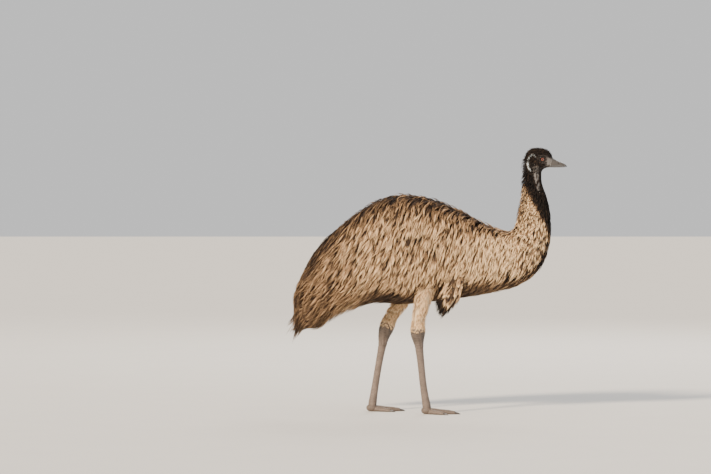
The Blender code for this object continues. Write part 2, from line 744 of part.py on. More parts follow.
def make_head():
    head = loft("head", spine_rings(HEAD_BACK, HEAD_FRONT, 22, 0.0145))
    eye_side = head_side(*EYE) + EYE_PROUD - EYE_RADIUS
    brow_side = head_side(*BROW) - BROW_SIZE[1] * 0.3
    ear_side = head_side(*EAR)
    added, cuts = [], []
    for side in (RIGHT, LEFT):
        eye = (EYE[0], side * eye_side, EYE[1])
        lid = EYE_RADIUS + LID_THICK
        added.append(ball("lids", eye, (lid * 1.14, lid, lid)))
        brow = (BROW[0], side * brow_side, BROW[1])
        added.append(ball("brow", brow, BROW_SIZE, 12, 6))
        wide, thick = EAR_RIM
        rim = (EAR_OPENING[0] + wide, thick, EAR_OPENING[1] + wide)
        added.append(ball("ear rim", (EAR[0], side * (ear_side - 0.001), EAR[1]), rim, 12, 6))
        room = EYE_RADIUS + GAP
        cuts.append(ball("socket", eye, (room, room, room)))
        outside = (EYE[0], side * (eye_side + EYE_RADIUS + 0.008), EYE[1])
        opening = (LID_OPENING[0], 0.020, LID_OPENING[1])
        cuts.append(ball("lid opening", outside, opening, 16, 8))
        cup = (EAR_OPENING[0], 0.012, EAR_OPENING[1])
        cuts.append(ball("ear cup", (EAR[0], side * (ear_side + 0.002), EAR[1]), cup, 12, 6))
        inner = side * (head_side(GAPE[0] + 0.015, GAPE[1]) - LIP_DEPTH)
        outer = side * 0.06
        low = (GAPE[0], min(inner, outer), GAPE[1])
        high = (GAPE[0] + 0.06, max(inner, outer), GAPE[1] + MOUTH_LINE)
        cuts.append(block("mouth line", low, high))
    combine(head, added, "UNION")
    combine(head, cuts, "DIFFERENCE")
    link(head, "skin")
    for side, tag in ((RIGHT, "r"), (LEFT, "l")):
        centre = (EYE[0], side * eye_side, EYE[1])
        link(ball("eye_" + tag, centre, (EYE_RADIUS,) * 3), "eye")


def bill_ring(share, x, top, bottom, half_width, arched_up, points=16):
    """A flat-sided ring across the bill, arched on top or below; it slants at the root."""
    ring = []
    for k in range(points):
        a = 2 * math.pi * k / points
        arch = max(math.cos(a), 0.0) ** 0.75
        z = bottom + (top - bottom) * arch if arched_up else top - (top - bottom) * arch
        ring.append(np.array((x + (1.0 - share) * slant(z), half_width * math.sin(a), z)))
    return ring


def slant(z):
    """How far the root of the bill lies behind its top edge at this height."""
    (top_x, top_z), (low_x, low_z) = BILL_ROOT_TOP, BILL_ROOT_LOW
    return (top_x - low_x) * (z - top_z) / (top_z - low_z)


def bill_half(name, table, arched_up):
    root = BILL_ROOT_TOP[0] + GAP * 1.4
    rings = []
    for share, top, bottom, half_width in table:
        x = root + (BILL_TIP - root) * share
        rings.append(bill_ring(share, x, top, bottom, half_width, arched_up))
    return loft(name, rings)


def make_bill():
    upper = bill_half("bill_upper", UPPER_BILL, True)
    cuts = []
    for side in (RIGHT, LEFT):
        centre = (NOSTRIL[0], side * NOSTRIL_SIDE, NOSTRIL[1])
        cuts.append(ball("nostril", centre, NOSTRIL_SIZE, 12, 8))
    combine(upper, cuts, "DIFFERENCE")
    link(upper, "bill")
    link(bill_half("bill_lower", LOWER_BILL, False), "bill")


def make_wing(side, tag):
    """A short hanging wing: a slender arm let into the flank, and a leaf of drooping plumes."""
    top, bottom = WING_ARM[0][1], WING_ARM[-1][1]

    def out(z):
        share = (z - bottom) / (top - bottom)
        return WING_SIDE[1] + (WING_SIDE[0] - WING_SIDE[1]) * share

    line = [(x, out(z), z, wide, thick) for x, z, wide, thick in WING_ARM]
    wing = loft("wing_" + tag, limb_rings(line, side))
    plumes = []
    for k, (tip_x, tip_z, layer) in enumerate(PLUME_TIPS):
        share = 0.30 + 0.45 * (1.0 - abs(2.0 * k / (len(PLUME_TIPS) - 1) - 1.0))
        root = arm_point(share)
        tip = np.array((tip_x, 0.0, tip_z))
        run = tip - root
        way = unit(run)
        across = np.array((way[2], 0.0, -way[0]))
        shift = 0.004 * layer
        sections = []
        for at, wide, _, thick in LOCK_SHAPE[:-1]:
            centre = root + run * at
            bend = math.sin(at * math.pi) * 0.006
            centre = centre + np.array((0.0, side * (out(centre[2]) + shift + bend), 0.0))
            reach = across * PLUME_WIDTH * wide / 2
            lift = np.array((0.0, side * PLUME_THICK * thick / 2, 0.0))
            sections.append((centre + reach, centre + lift, centre - reach, centre - lift))
        end = tip + np.array((0.0, side * (out(tip_z) + shift), 0.0))
        plumes.append(lock_mesh(f"plume {k}", sections, end))
    combine(wing, plumes, "UNION")
    carve(bpy.data.objects["torso"], [wing])
    link(wing, "pale plumage")


def arm_point(share):
    """A point of the wing's arm in side view, share of the way down."""
    x = [station[0] for station in WING_ARM]
    z = [station[1] for station in WING_ARM]
    at = np.linspace(0, 1, len(x))
    return np.array((np.interp(share, at, x), 0.0, np.interp(share, at, z)))


def scuted_rings(rings, count, front):
    """Rings of a limb with plates: each plate's lower edge stands proud of the next one."""
    rings = np.array(rings)
    centres = rings.mean(axis=1)
    lengths = np.linalg.norm(np.diff(centres, axis=0), axis=1)
    run = np.concatenate(([0.0], np.cumsum(lengths)))
    where = np.interp(np.linspace(0, run[-1], count + 1), run, np.arange(len(rings)))

    def ring_at(place):
        first = min(int(place), len(rings) - 2)
        t = place - first
        return rings[first] * (1 - t) + rings[first + 1] * t

    made = []
    for k in range(count):
        upper, lower = ring_at(where[k]), ring_at(where[k + 1])
        centre = lower.mean(axis=0)
        step = unit(upper.mean(axis=0) - centre) * SCUTE_STEP
        outward = unit(lower - centre)
        raise_by = SCUTE_RAISE * front[:, None]
        made.append(upper)
        made.append(lower + outward * raise_by + step)
    made.append(ring_at(where[-1]))
    return made


def toe_rings(length, half_width, height, scutes, points=8):
    """Rings of one toe along +X from the ball of the foot, flat on the floor below."""
    shares = [share for share, _, _ in TOE_PROFILE]
    widths = [wide for _, wide, _ in TOE_PROFILE]
    heights = [high for _, _, high in TOE_PROFILE]
    plates = np.linspace(TOE_PLATES_FROM, 1.0, scutes + 1)
    stops = [(0.0, 0.0), (plates[0], 0.0)]
    for end in plates[1:]:
        stops.append((end - SCUTE_STEP / length, SCUTE_RAISE))
        stops.append((end, 0.0))
    rings = []
    for share, raised in stops:
        wide = half_width * np.interp(share, shares, widths)
        high = height * np.interp(share, shares, heights) + raised
        ring = []
        for k in range(points):
            a = 2 * math.pi * (k + 0.5) / points
            z = high * (TOE_MIDDLE + TOE_ROUND * math.cos(a))
            y = wide * math.sin(a)
            ring.append(np.array((TOE_START + share * length, y, max(z, 0.0))))
        rings.append(ring)
    return rings


def claw_rings(length, half_width, height, base, points=6):
    """Rings of a claw: it tapers forwards and curves down to the floor."""
    rings = []
    for share, wide, high in CLAW_PROFILE:
        ring = []
        for k in range(points):
            a = 2 * math.pi * (k + 0.5) / points
            z = GAP + height * high * (0.5 + 0.5 * math.cos(a))
            y = half_width * wide * math.sin(a)
            ring.append(np.array((base + share * length, y, z)))
        rings.append(ring)
    return rings


def turned(rings, angle, at):
    """Rings turned about the upright through the foot and moved to it."""
    c, s = math.cos(angle), math.sin(angle)
    turn = np.array(((c, s, 0.0), (-s, c, 0.0), (0.0, 0.0, 1.0)))
    return [np.array(ring) @ turn + np.array((*at, 0.0)) for ring in rings]


def parted(rings, at):
    """Splits rings in two at one of them, with the joint gap between the halves."""
    way = rings[at + 1].mean(axis=0) - rings[at - 1].mean(axis=0)
    way = unit(way) * GAP / 2
    return rings[:at] + [rings[at] - way], [rings[at] + way] + rings[at + 1 :]


def make_leg(line, side, tag):
    rings = limb_rings(line, side)
    upper, shank_rings = parted(rings, HOCK_END)
    tibia_rings, hock_rings = parted(upper, SOCK_END)
    tibia = loft("tibia_" + tag, tibia_rings)
    carve(bpy.data.objects["torso"], [tibia])
    link(tibia, "pale plumage")
    link(loft("hock_" + tag, hock_rings), "leg")
    front = smooth_step(0.5 + 1.2 * forward_share(shank_rings[0]))
    tarsus = loft("tarsus_" + tag, scuted_rings(shank_rings, SHANK_SCUTES, front))
    link(tarsus, "leg")
    foot = (line[-1][0], side * line[-1][1])
    made = []
    for name, splay, length, half_width, height, scutes in TOES:
        angle = math.radians((FOOT_TURN - splay) * side)
        shape = turned(toe_rings(length, half_width, height, scutes), angle, foot)
        toe = loft(f"toe_{name}_{tag}", shape)
        carve(toe, [tarsus] + made)
        link(toe, "leg")
        made.append(toe)
        shape = claw_rings(CLAW_LENGTH, half_width, height, TOE_START + length + GAP)
        link(loft(f"claw_{name}_{tag}", turned(shape, angle, foot)), "claw")


def forward_share(ring):
    """How far each point of a ring lies towards the front, from -1 to 1."""
    x = ring[:, 0] - ring[:, 0].mean()
    return x / np.abs(x).max()


def make_materials():
    for name, (colour, roughness) in COLOURS.items():
        material = bpy.data.materials.new(name)
        material.use_nodes = True
        shader = material.node_tree.nodes["Principled BSDF"]
        shader.inputs["Base Color"].default_value = (*colour, 1.0)
        shader.inputs["Roughness"].default_value = roughness
        shader.inputs["Metallic"].default_value = 0.0
        material.diffuse_color = (*colour, 1.0)


def settle():
    """Moves the whole bird so that the origin is under the middle of its box."""
    objects = list(bpy.data.collections["emu"].objects)
    corners = np.array([v.co[:] for o in objects for v in o.data.vertices])
    low, high = corners.min(axis=0), corners.max(axis=0)
    shift = Vector((-(low[0] + high[0]) / 2, -(low[1] + high[1]) / 2, -low[2]))
    for obj in objects:
        for vertex in obj.data.vertices:
            vertex.co += shift
        obj.data.update()


def shade():
    """Smooth shading, with edges kept sharp where plates, locks and cuts meet."""
    for obj in bpy.data.collections["emu"].objects:
        obj.data.shade_smooth()
        obj.data.set_sharp_from_angle(angle=SHARP_ANGLE)


def main():
    for obj in list(bpy.data.objects):
        bpy.data.objects.remove(obj)
    bird = bpy.data.collections.new("emu")
    bpy.context.scene.collection.children.link(bird)
    make_materials()
    make_plumage()
    make_upper_neck()
    make_head()
    make_bill()
    for side, tag in ((RIGHT, "r"), (LEFT, "l")):
        make_wing(side, tag)
    make_leg(NEAR_LEG, RIGHT, "r")
    make_leg(FAR_LEG, LEFT, "l")
    settle()
    shade()


main()
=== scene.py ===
"""A life-size standing emu: skin, feathers, horn and scales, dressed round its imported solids.

The spine surface below is the one that the solids are cut from, so every feather is rooted on
the body and reaches the outline of the coat. The file is laid out as an add-on: the settings
hold sizes and colours, and each operator makes one piece or one group of like pieces.
"""

import math
from collections import namedtuple

import bpy
import numpy as np
from bpy.props import FloatProperty, FloatVectorProperty, IntProperty, PointerProperty
from bpy.types import Operator, Panel, PropertyGroup
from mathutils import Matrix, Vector
from mathutils.kdtree import KDTree


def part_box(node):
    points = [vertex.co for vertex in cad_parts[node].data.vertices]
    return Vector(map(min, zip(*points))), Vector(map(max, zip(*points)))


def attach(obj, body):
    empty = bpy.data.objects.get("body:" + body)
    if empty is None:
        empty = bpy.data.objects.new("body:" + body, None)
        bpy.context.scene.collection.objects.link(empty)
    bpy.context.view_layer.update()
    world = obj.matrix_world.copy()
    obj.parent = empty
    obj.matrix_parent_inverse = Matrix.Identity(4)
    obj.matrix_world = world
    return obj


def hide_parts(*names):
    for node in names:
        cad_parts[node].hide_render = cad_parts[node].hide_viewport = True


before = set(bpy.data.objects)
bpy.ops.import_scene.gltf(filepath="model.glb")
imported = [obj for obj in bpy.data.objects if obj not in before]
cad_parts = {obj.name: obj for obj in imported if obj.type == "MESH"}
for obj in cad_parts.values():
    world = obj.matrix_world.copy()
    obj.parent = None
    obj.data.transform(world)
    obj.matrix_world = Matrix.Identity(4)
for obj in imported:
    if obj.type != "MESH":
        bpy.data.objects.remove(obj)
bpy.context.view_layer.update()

bl_info = {
    "name": "Standing Emu",
    "version": (1, 0, 0),
    "blender": (4, 5, 0),
    "location": "View3D > Sidebar > Emu",
    "description": "Dresses a life-size standing emu in skin, feathers, scales and horn",
    "category": "Add Mesh",
}

# Spine surface: the outline of the coat in side view, from the tail to the root of the bill
Station = namedtuple("Station", "name upper lower half_width egg core lean")
SPINE = (
    Station("tail end", (-0.677, 0.520), (-0.636, 0.449), 0.045, 0.00, 0.45, 0.0),
    Station("tail", (-0.690, 0.597), (-0.570, 0.428), 0.104, -0.05, 0.52, 0.0),
    Station("rump droop", (-0.642, 0.717), (-0.489, 0.500), 0.146, -0.10, 0.66, 0.0),
    Station("rump", (-0.568, 0.847), (-0.427, 0.551), 0.178, -0.14, 0.80, 0.0),
    Station("rump top", (-0.457, 0.958), (-0.361, 0.571), 0.203, -0.16, 0.86, 0.0),
    Station("haunch", (-0.323, 1.057), (-0.259, 0.574), 0.221, -0.17, 0.90, 0.0),
    Station("back", (-0.199, 1.113), (-0.167, 0.566), 0.227, -0.17, 0.905, 0.0),
    Station("back high", (-0.086, 1.118), (-0.086, 0.564), 0.224, -0.16, 0.905, 0.0),
    Station("back front", (0.033, 1.095), (0.006, 0.571), 0.213, -0.15, 0.90, 0.0),
    Station("shoulder", (0.146, 1.048), (0.108, 0.586), 0.194, -0.13, 0.895, 0.0),
    Station("shoulder front", (0.263, 0.985), (0.231, 0.602), 0.169, -0.11, 0.885, 0.0),
    Station("neck root", (0.353, 0.942), (0.353, 0.622), 0.143, -0.09, 0.88, 0.1),
    Station("neck base", (0.401, 0.928), (0.465, 0.653), 0.121, -0.06, 0.87, 0.2),
    Station("neck turn", (0.427, 0.941), (0.567, 0.729), 0.099, -0.03, 0.86, 0.3),
    Station("neck low", (0.445, 0.979), (0.621, 0.867), 0.082, 0.00, 0.86, 0.3),
    Station("neck mid", (0.459, 1.040), (0.622, 1.005), 0.069, 0.00, 0.85, 0.4),
    Station("neck", (0.469, 1.107), (0.603, 1.096), 0.056, 0.00, 0.82, 0.6),
    Station("neck high", (0.474, 1.173), (0.577, 1.170), 0.044, 0.00, 0.80, 0.9),
    Station("throat", (0.473, 1.227), (0.573, 1.219), 0.038, 0.00, 0.80, 1.0),
    Station("nape", (0.474, 1.270), (0.577, 1.237), 0.037, 0.00, 0.83, 1.0),
    Station("occiput", (0.484, 1.317), (0.586, 1.246), 0.037, 0.00, 0.87, 1.0),
    Station("crown back", (0.511, 1.350), (0.597, 1.251), 0.037, 0.00, 0.90, 1.0),
    Station("crown", (0.557, 1.356), (0.606, 1.252), 0.036, 0.02, 0.92, 1.0),
    Station("forehead", (0.607, 1.3405), (0.611, 1.2525), 0.030, 0.02, 0.95, 1.0),
    Station("bill root", (0.634, 1.300), (0.614, 1.253), 0.0205, 0.04, 1.0, 1.0),
)
SPINE_ROWS = np.array([(*s.upper, *s.lower, s.half_width, s.egg, s.core, s.lean) for s in SPINE])

# Places along the spine, counted in stations
TAIL_FRONT, NECK_START, BLACK_START, HEAD_START, HEAD_END = 3.5, 12.5, 15.2, 18.6, 24.0
BODY_PARTS = (TAIL_FRONT, 6.4, 9.0, NECK_START)
NAPE = (15.0, 19.9)
CROWN = (19.6, 23.75)
RIDGE_COAT = (1.6, 14.6)
HEAD_COAT_END = 23.7

# How far down from the ridge the crown's bristles stand, as an angle
CROWN_SIDE = 1.25

# The way the plumage lies, in side view, at places along the spine
LIE = (
    (0.0, (-0.62, -0.78)),
    (3.0, (-0.67, -0.74)),
    (5.0, (-0.374, -0.83)),
    (7.0, (-0.286, -0.91)),
    (10.0, (-0.286, -0.91)),
    (12.0, (-0.374, -0.84)),
    (14.0, (-0.22, -0.97)),
    (16.0, (-0.05, -1.0)),
)
# The back's ridge: its half width as an angle, and how strongly and where the coat parts there
RIDGE_WIDE = 0.75
PARTING = 0.75
PARTED_BACK = (3.0, 5.0, 12.5, 13.5)
# How closely the coat is held to the body, on the flanks and under it, and where under begins
HUG = 0.75
HUG_UNDER = 0.97
UNDER_ANGLES = (1.5, 2.1)
UNDER_PLACES = (4.0, 5.5)
# The place on the spine behind which feathers hang free of the tail
TIP_PLACE = 0.05

# Feathers over the wings and thighs end above them: a window in side view (x, x, z)
SHORT_OVER = (0.02, 0.18, 0.665)

# Head, in side view
EYE = (0.578, 1.294)
EYE_RADIUS = 0.0142
EAR = (0.526, 1.284)
BILL_ROOT_TOP = (0.634, 1.300)
BILL_ROOT_LOW = (0.614, 1.253)
BILL_TIP = 0.7035
EAR_ARC = ((0.541, 1.309), (0.534, 1.316), (0.524, 1.317), (0.511, 1.306), (0.504, 1.290),
           (0.503, 1.270), (0.508, 1.252), (0.516, 1.236))
ARC_HALF = 0.0046

# Legs: centre line as (x, y, z, half depth, half width), from inside the body to the foot
RIGHT, LEFT = -1.0, 1.0
NEAR_LEG = (
    (-0.008, 0.126, 0.675, 0.060, 0.048),
    (-0.018, 0.123, 0.635, 0.056, 0.046),
    (-0.030, 0.118, 0.590, 0.050, 0.042),
    (-0.044, 0.114, 0.535, 0.044, 0.038),
    (-0.054, 0.110, 0.478, 0.039, 0.035),
    (-0.057, 0.108, 0.437, 0.0375, 0.0335),
    (-0.0565, 0.107, 0.405, 0.0360, 0.0310),
    (-0.0540, 0.106, 0.372, 0.0270, 0.0250),
    (-0.0500, 0.105, 0.335, 0.0205, 0.0190),
    (-0.0410, 0.102, 0.255, 0.0175, 0.0160),
    (-0.0310, 0.099, 0.160, 0.0172, 0.0158),
    (-0.0200, 0.096, 0.085, 0.0188, 0.0185),
    (-0.0130, 0.095, 0.045, 0.0210, 0.0225),
    (-0.0100, 0.095, 0.0180, 0.0200, 0.0220),
)
FAR_LEG = (
    (-0.084, 0.126, 0.675, 0.060, 0.048),
    (-0.103, 0.123, 0.632, 0.056, 0.046),
    (-0.128, 0.118, 0.585, 0.050, 0.042),
    (-0.158, 0.114, 0.536, 0.044, 0.038),
    (-0.188, 0.110, 0.488, 0.039, 0.035),
    (-0.207, 0.108, 0.450, 0.0375, 0.0335),
    (-0.2190, 0.107, 0.415, 0.0360, 0.0310),
    (-0.2290, 0.106, 0.382, 0.0280, 0.0250),
    (-0.2370, 0.105, 0.335, 0.0205, 0.0190),
    (-0.2520, 0.102, 0.255, 0.0175, 0.0160),
    (-0.2680, 0.099, 0.160, 0.0172, 0.0158),
    (-0.2800, 0.096, 0.085, 0.0188, 0.0185),
    (-0.2860, 0.095, 0.045, 0.0210, 0.0225),
    (-0.2880, 0.095, 0.0180, 0.0200, 0.0220),
)
SIDES = (("r", RIGHT, NEAR_LEG), ("l", LEFT, FAR_LEG))
# Places down a leg, counted in stations: where its feathers, its hock and its shank end
SOCK_END, HOCK_END, SHANK_END = 5.0, 8.0, 13.0
FOOT_TURN = 6.0
# Toes: splay in degrees, length, half width, height and number of plates
TOES = (
    ("middle", 0.0, 0.138, 0.0170, 0.0285, 13),
    ("inner", 31.0, 0.098, 0.0138, 0.0240, 9),
    ("outer", -33.0, 0.104, 0.0134, 0.0235, 10),
)
TOE_START = 0.004
CLAW_LENGTH = 0.030

# Wing: its arm in side view as (x, z), and how far out its upper and lower ends hang
WING_ARM = ((0.158, 0.752), (0.150, 0.715), (0.136, 0.662), (0.118, 0.610), (0.098, 0.565), (0.082, 0.535))
WING_SIDE = (0.158, 0.140)


def frame_shift():
    """From the design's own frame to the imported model's, read from where the eyes are."""
    boxes = [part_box("eye_r"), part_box("eye_l")]
    middle = sum((Vector(corner) for box in boxes for corner in box), Vector()) / 4
    return np.array((middle.x - EYE[0], middle.y, middle.z - EYE[1]))


SHIFT = frame_shift()


def smooth_step(value):
    """0 below 0, 1 above 1, and smooth between."""
    t = np.clip(value, 0.0, 1.0)
    return t * t * (3.0 - 2.0 * t)


def within(value, low, high, soft):
    """1 between low and high and 0 outside, with soft edges."""
    return smooth_step((value - low) / soft + 0.5) * smooth_step((high - value) / soft + 0.5)


def unit(vectors):
    return vectors / np.maximum(np.linalg.norm(vectors, axis=-1, keepdims=True), 1e-12)


def round_angles(count):
    """Angles evenly spread over a full turn."""
    return np.arange(count) * 2.0 * math.pi / count


def along_rows(rows, place):
    """Rows of sizes at any place along a list, on a Catmull-Rom curve."""
    padded = np.vstack((2 * rows[0] - rows[1], rows, 2 * rows[-1] - rows[-2]))
    place = np.atleast_1d(np.asarray(place, float))
    first = np.clip(np.floor(place).astype(int), 0, len(rows) - 2)
    t = (place - first)[:, None]
    p0, p1, p2, p3 = (padded[first + k] for k in range(4))
    return 0.5 * (
        2 * p1
        + (p2 - p0) * t
        + (2 * p0 - 5 * p1 + 4 * p2 - p3) * t**2
        + (3 * p1 - p0 - 3 * p2 + p3) * t**3
    )


def spine_point(place, angle, height):
    """Points on the spine surface. angle is 0 on the back and pi on the belly, positive on
    the left; height is 0 on the skin and 1 on the outline of the coat."""
    row = along_rows(SPINE_ROWS, place)
    upper, lower = row[:, 0:2], row[:, 2:4]
    half_width, egg, core, lean = row[:, 4], row[:, 5], row[:, 6], row[:, 7]
    share = core + (1.0 - core) * height
    half = (upper - lower) / 2
    middle = (upper + lower) / 2 - half * ((1.0 - share) * lean)[:, None]
    rise = np.cos(angle) * share
    side = np.sin(angle) * (1.0 + egg * np.cos(angle)) * share * half_width
    flat = middle + half * rise[:, None]
    return np.column_stack((flat[:, 0], side, flat[:, 1]))


def surface_frame(place, angle, height):
    """A point of the surface, its outward normal, and its change along and round the spine."""
    step = 0.02
    at = spine_point(place, angle, height)
    along = (spine_point(place + step, angle, height) - at) / step
    around = (spine_point(place, angle + step, height) - at) / step
    return at, unit(np.cross(along, around)), along, around


def surface_steps(along, around, move):
    """The changes of place and angle that move a point of the surface by a vector."""
    a, b, c = (along**2).sum(1), (along * around).sum(1), (around**2).sum(1)
    p, q = (along * move).sum(1), (around * move).sum(1)
    spread = np.maximum(a * c - b * b, 1e-12)
    return (p * c - q * b) / spread, (q * a - p * b) / spread


def lie_of(place, angle):
    """The way the plumage lies: backwards along the ridge of the back, drooping beside it."""
    places = [p for p, _ in LIE]
    x = np.interp(place, places, [d[0] for _, d in LIE])
    z = np.interp(place, places, [d[1] for _, d in LIE])
    flank = unit(np.column_stack((x, np.zeros(len(x)), z)))
    ridge, flat = np.zeros(len(x)), np.zeros(len(x))
    back = unit(spine_point(place - 0.1, ridge, flat) - spine_point(place + 0.1, ridge, flat))
    beside = smooth_step(np.abs(angle) / RIDGE_WIDE)[:, None]
    on_head = smooth_step((place - 17.0) / 1.6)[:, None]
    way = back * (1.0 - beside) + flank * beside
    way = way * (1.0 - on_head) + back * on_head
    rear, full, fading, front = PARTED_BACK
    parted_here = smooth_step((place - rear) / (full - rear))
    parted_here = parted_here * smooth_step((front - place) / (front - fading))
    way[:, 1] += np.sign(angle) * PARTING * parted_here * np.maximum(np.cos(angle), 0.0)
    return unit(way)


def hug_of(place, angle):
    """How closely the plumage is held to the body: loosely on the flanks, firmly below."""
    first, last = UNDER_ANGLES
    under = smooth_step((np.abs(angle) - first) / (last - first))
    first, last = UNDER_PLACES
    under = under * smooth_step((place - first) / (last - first))
    return HUG + (HUG_UNDER - HUG) * under


def triangles_object(name, points, faces, values=None, uv=None):
    """A smooth mesh object from arrays, with point values and each point's place on OFBake."""
    mesh = bpy.data.meshes.new(name)
    mesh.vertices.add(len(points))
    mesh.vertices.foreach_set("co", np.asarray(points, np.float32).ravel())
    mesh.loops.add(faces.size)
    mesh.loops.foreach_set("vertex_index", faces.ravel().astype(np.int32))
    mesh.polygons.add(len(faces))
    mesh.polygons.foreach_set("loop_start", np.arange(len(faces), dtype=np.int32) * faces.shape[1])
    mesh.update(calc_edges=True)
    mesh.validate()
    mesh.shade_smooth()
    for label, numbers in (values or {}).items():
        attribute = mesh.attributes.new(label, "FLOAT", "POINT")
        attribute.data.foreach_set("value", np.asarray(numbers, np.float32).ravel())
    if uv is not None:
        layer = mesh.uv_layers.new(name="OFBake")
        layer.data.foreach_set("uv", uv[faces.ravel()].astype(np.float32).ravel())
    obj = bpy.data.objects.new(name, mesh)
    bpy.context.scene.collection.objects.link(obj)
    return obj


def signed_volume(points, faces):
    """Six times the volume in a closed surface of triangles, below 0 if it is inside out."""
    a, b, c = (points[faces[:, k]] for k in range(3))
    return (a * np.cross(b, c)).sum()


def facing_out(points, faces):
    """The faces, turned round if the closed surface that they make is inside out."""
    return faces if signed_volume(points, faces) > 0 else faces[:, ::-1]


def grid_faces(rows, columns):
    """Triangles of a tube of rings: rows rings with columns points each."""
    r, c = np.meshgrid(np.arange(rows - 1), np.arange(columns), indexing="ij")
    a = (r * columns + c).ravel()
    b = (r * columns + (c + 1) % columns).ravel()
    up = columns
    return np.concatenate((np.stack((a, b, b + up), 1), np.stack((a, b + up, a + up), 1)))


def capped_tube(rings):
    """Points and faces of a closed tube through rings, an array (rings, points, 3)."""
    rows, columns, _ = rings.shape
    hubs = np.array((rings[0].mean(axis=0), rings[-1].mean(axis=0)))
    points = np.vstack((rings.reshape(-1, 3), hubs))
    k = np.arange(columns)
    n = (k + 1) % columns
    first = np.full(columns, rows * columns)
    last = (rows - 1) * columns
    start = np.stack((first, n, k), 1)
    end = np.stack((first + 1, last + k, last + n), 1)
    faces = np.concatenate((grid_faces(rows, columns), start, end))
    return points, facing_out(points, faces)


def finish_piece(piece, material, nodes=()):
    """Gives a piece its material and slot and its body, and hides the solids that it stands for."""
    piece.data.materials.clear()
    piece.data.materials.append(material)
    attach(piece, "root")
    if nodes:
        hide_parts(*nodes)


def uv_of(place, angle):
    """The skin's unwrap: along the spine, and round it from the belly over the back."""
    turn = (np.asarray(angle) + math.pi) % (2.0 * math.pi)
    u = 0.02 + 0.96 * np.asarray(place) / (len(SPINE) - 1)
    return np.column_stack((u, 0.02 + 0.96 * turn / (2.0 * math.pi)))


# Where the neck turns black: a place at its back, the edge's slope to the front, and its softness
BLACK_EDGE = (0.4906, 1.124)
BLACK_SLOPE = 1.75
BLACK_SOFT = 0.075


def black_share(x, z):
    """How black the neck's feathers are: the black runs down from the nape to the front."""
    edge = BLACK_EDGE[1] - (x - BLACK_EDGE[0]) * BLACK_SLOPE
    return smooth_step((z - edge) / BLACK_SOFT + 0.5)


def paleness(place, angle):
    """The coat's markings, with painted shade on its underside: 0 is the darkest brown and 1 is cream."""
    turn = np.abs((angle + math.pi) % (2.0 * math.pi) - math.pi)
    at = spine_point(place, angle, np.ones(len(place)))
    x, z = at[:, 0], at[:, 2]
    pale = np.interp(place, (0.0, 2.5, 4.5, 6.5, 9.0, 10.5, 12.5), (0.31, 0.46, 0.57, 0.61, 0.63, 0.72, 0.80))
    back_edge = np.interp(place, (3.0, 6.0, 9.0, 11.5, 13.0), (0.74, 0.90, 1.02, 1.06, 0.55))
    on_back = smooth_step((back_edge - turn) / 0.90 + 0.5) * within(place, 2.0, 13.0, 2.0)
    pale = pale - 0.31 * on_back
    breast_side = within(place, 9.8, 14.9, 1.6) * within(turn, 0.95, 2.30, 0.8)
    pale = pale + 0.18 * breast_side
    # Darker under the body and the base of the neck: partly the belly's dark fringe of feathers and partly
    # painted shade below the body.
    pale = pale - 0.36 * smooth_step((turn - 2.45) / 0.45 + 0.5) * within(place, 8.6, 13.2, 1.2)
    pale = pale - 0.34 * smooth_step((turn - 2.70) / 0.40 + 0.5) * within(place, 4.0, 8.6, 1.2)
    pale = pale - 0.60 * smooth_step((turn - 2.62) / 0.4 + 0.5) * within(place, 12.8, 17.0, 1.0)
    pale = np.clip(pale, 0.05, 1.0)
    return pale * (1.0 - black_share(x, z))


# How feathers rise from the skin, 0, to the coat's outline, 1, along their length
GENTLE_RISE = (0.0, 0.22, 0.55, 1.0), (-0.25, 0.45, 0.84, 1.0)
STEEP_RISE = (0.0, 0.08, 0.28, 1.0), (-0.25, 0.55, 0.95, 1.0)
# The share of a feather's length from which it shows
SHOWN_SHARE = 0.82


def feather_paths(place, angle, length, lift, turn, curl, rows):
    """Marches feathers over the body along their lie. Returns points and outward normals,
    (rows, feathers, 3) each, and the place and angle that shows of each, near its tip."""
    count = len(place)
    on_ridge = smooth_step(1.4 - np.abs(angle) / 0.42) * within(place, 1.0, 14.0, 1.0)
    lift = np.maximum(lift, 0.86 * on_ridge)
    drift = np.zeros((count, 3))
    points, normals = [], []
    before = 0.0
    shown = place, angle
    for share in np.linspace(0.0, 1.0, rows):
        gentle = np.interp(share, *GENTLE_RISE)
        steep = np.interp(share, *STEEP_RISE)
        high = gentle + (steep - gentle) * on_ridge
        base = np.zeros(count)
        _, normal, along, around = surface_frame(place, angle, base)
        want = lie_of(place, angle)
        into = (want * normal).sum(1)
        held = np.where(into < 0, 1.0, hug_of(place, angle))
        free = np.where(place <= TIP_PLACE, 0.0, held)
        want = want - normal * (into * free)[:, None]
        side = unit(np.cross(normal, want))
        want = unit(unit(want) + side * (turn + curl * share)[:, None])
        move = want * ((share - before) * length)[:, None]
        d_place, d_angle = surface_steps(along, around, move)
        past = np.maximum(TIP_PLACE - (place + d_place), 0.0)
        on_body = 1.0 - np.clip(past / np.maximum(-d_place, 1e-6), 0.0, 1.0)
        place, angle = place + d_place * on_body, angle + d_angle * on_body
        drift = drift + normal * np.maximum((move * normal).sum(1) * on_body, 0.0)[:, None]
        drift = drift + move * (1.0 - on_body)[:, None]
        before = share
        if share <= SHOWN_SHARE:
            shown = place, angle
        height = np.where(high > 0, high * lift, high)
        at, normal, _, _ = surface_frame(place, angle, height)
        points.append(at + drift)
        normals.append(normal)
    return np.array(points), np.array(normals), shown


# How far back the tail's feathers reach
COAT_REAR = -0.706


def inside_reach(place, angle, length, lift, turn, curl, dice):
    """Shorter lengths for tail feathers that would hang back past the end of the coat."""
    path, _, _ = feather_paths(place, angle, length, lift, turn, curl, 6)
    limit = COAT_REAR + dice.uniform(0.0, 0.022, len(place))
    run = path[0, :, 0] - path[-1, :, 0]
    room = np.maximum(path[0, :, 0] - limit, 0.02)
    return np.where(path[-1, :, 0] < limit, length * np.minimum(room / np.maximum(run, 0.02), 1.0), length)


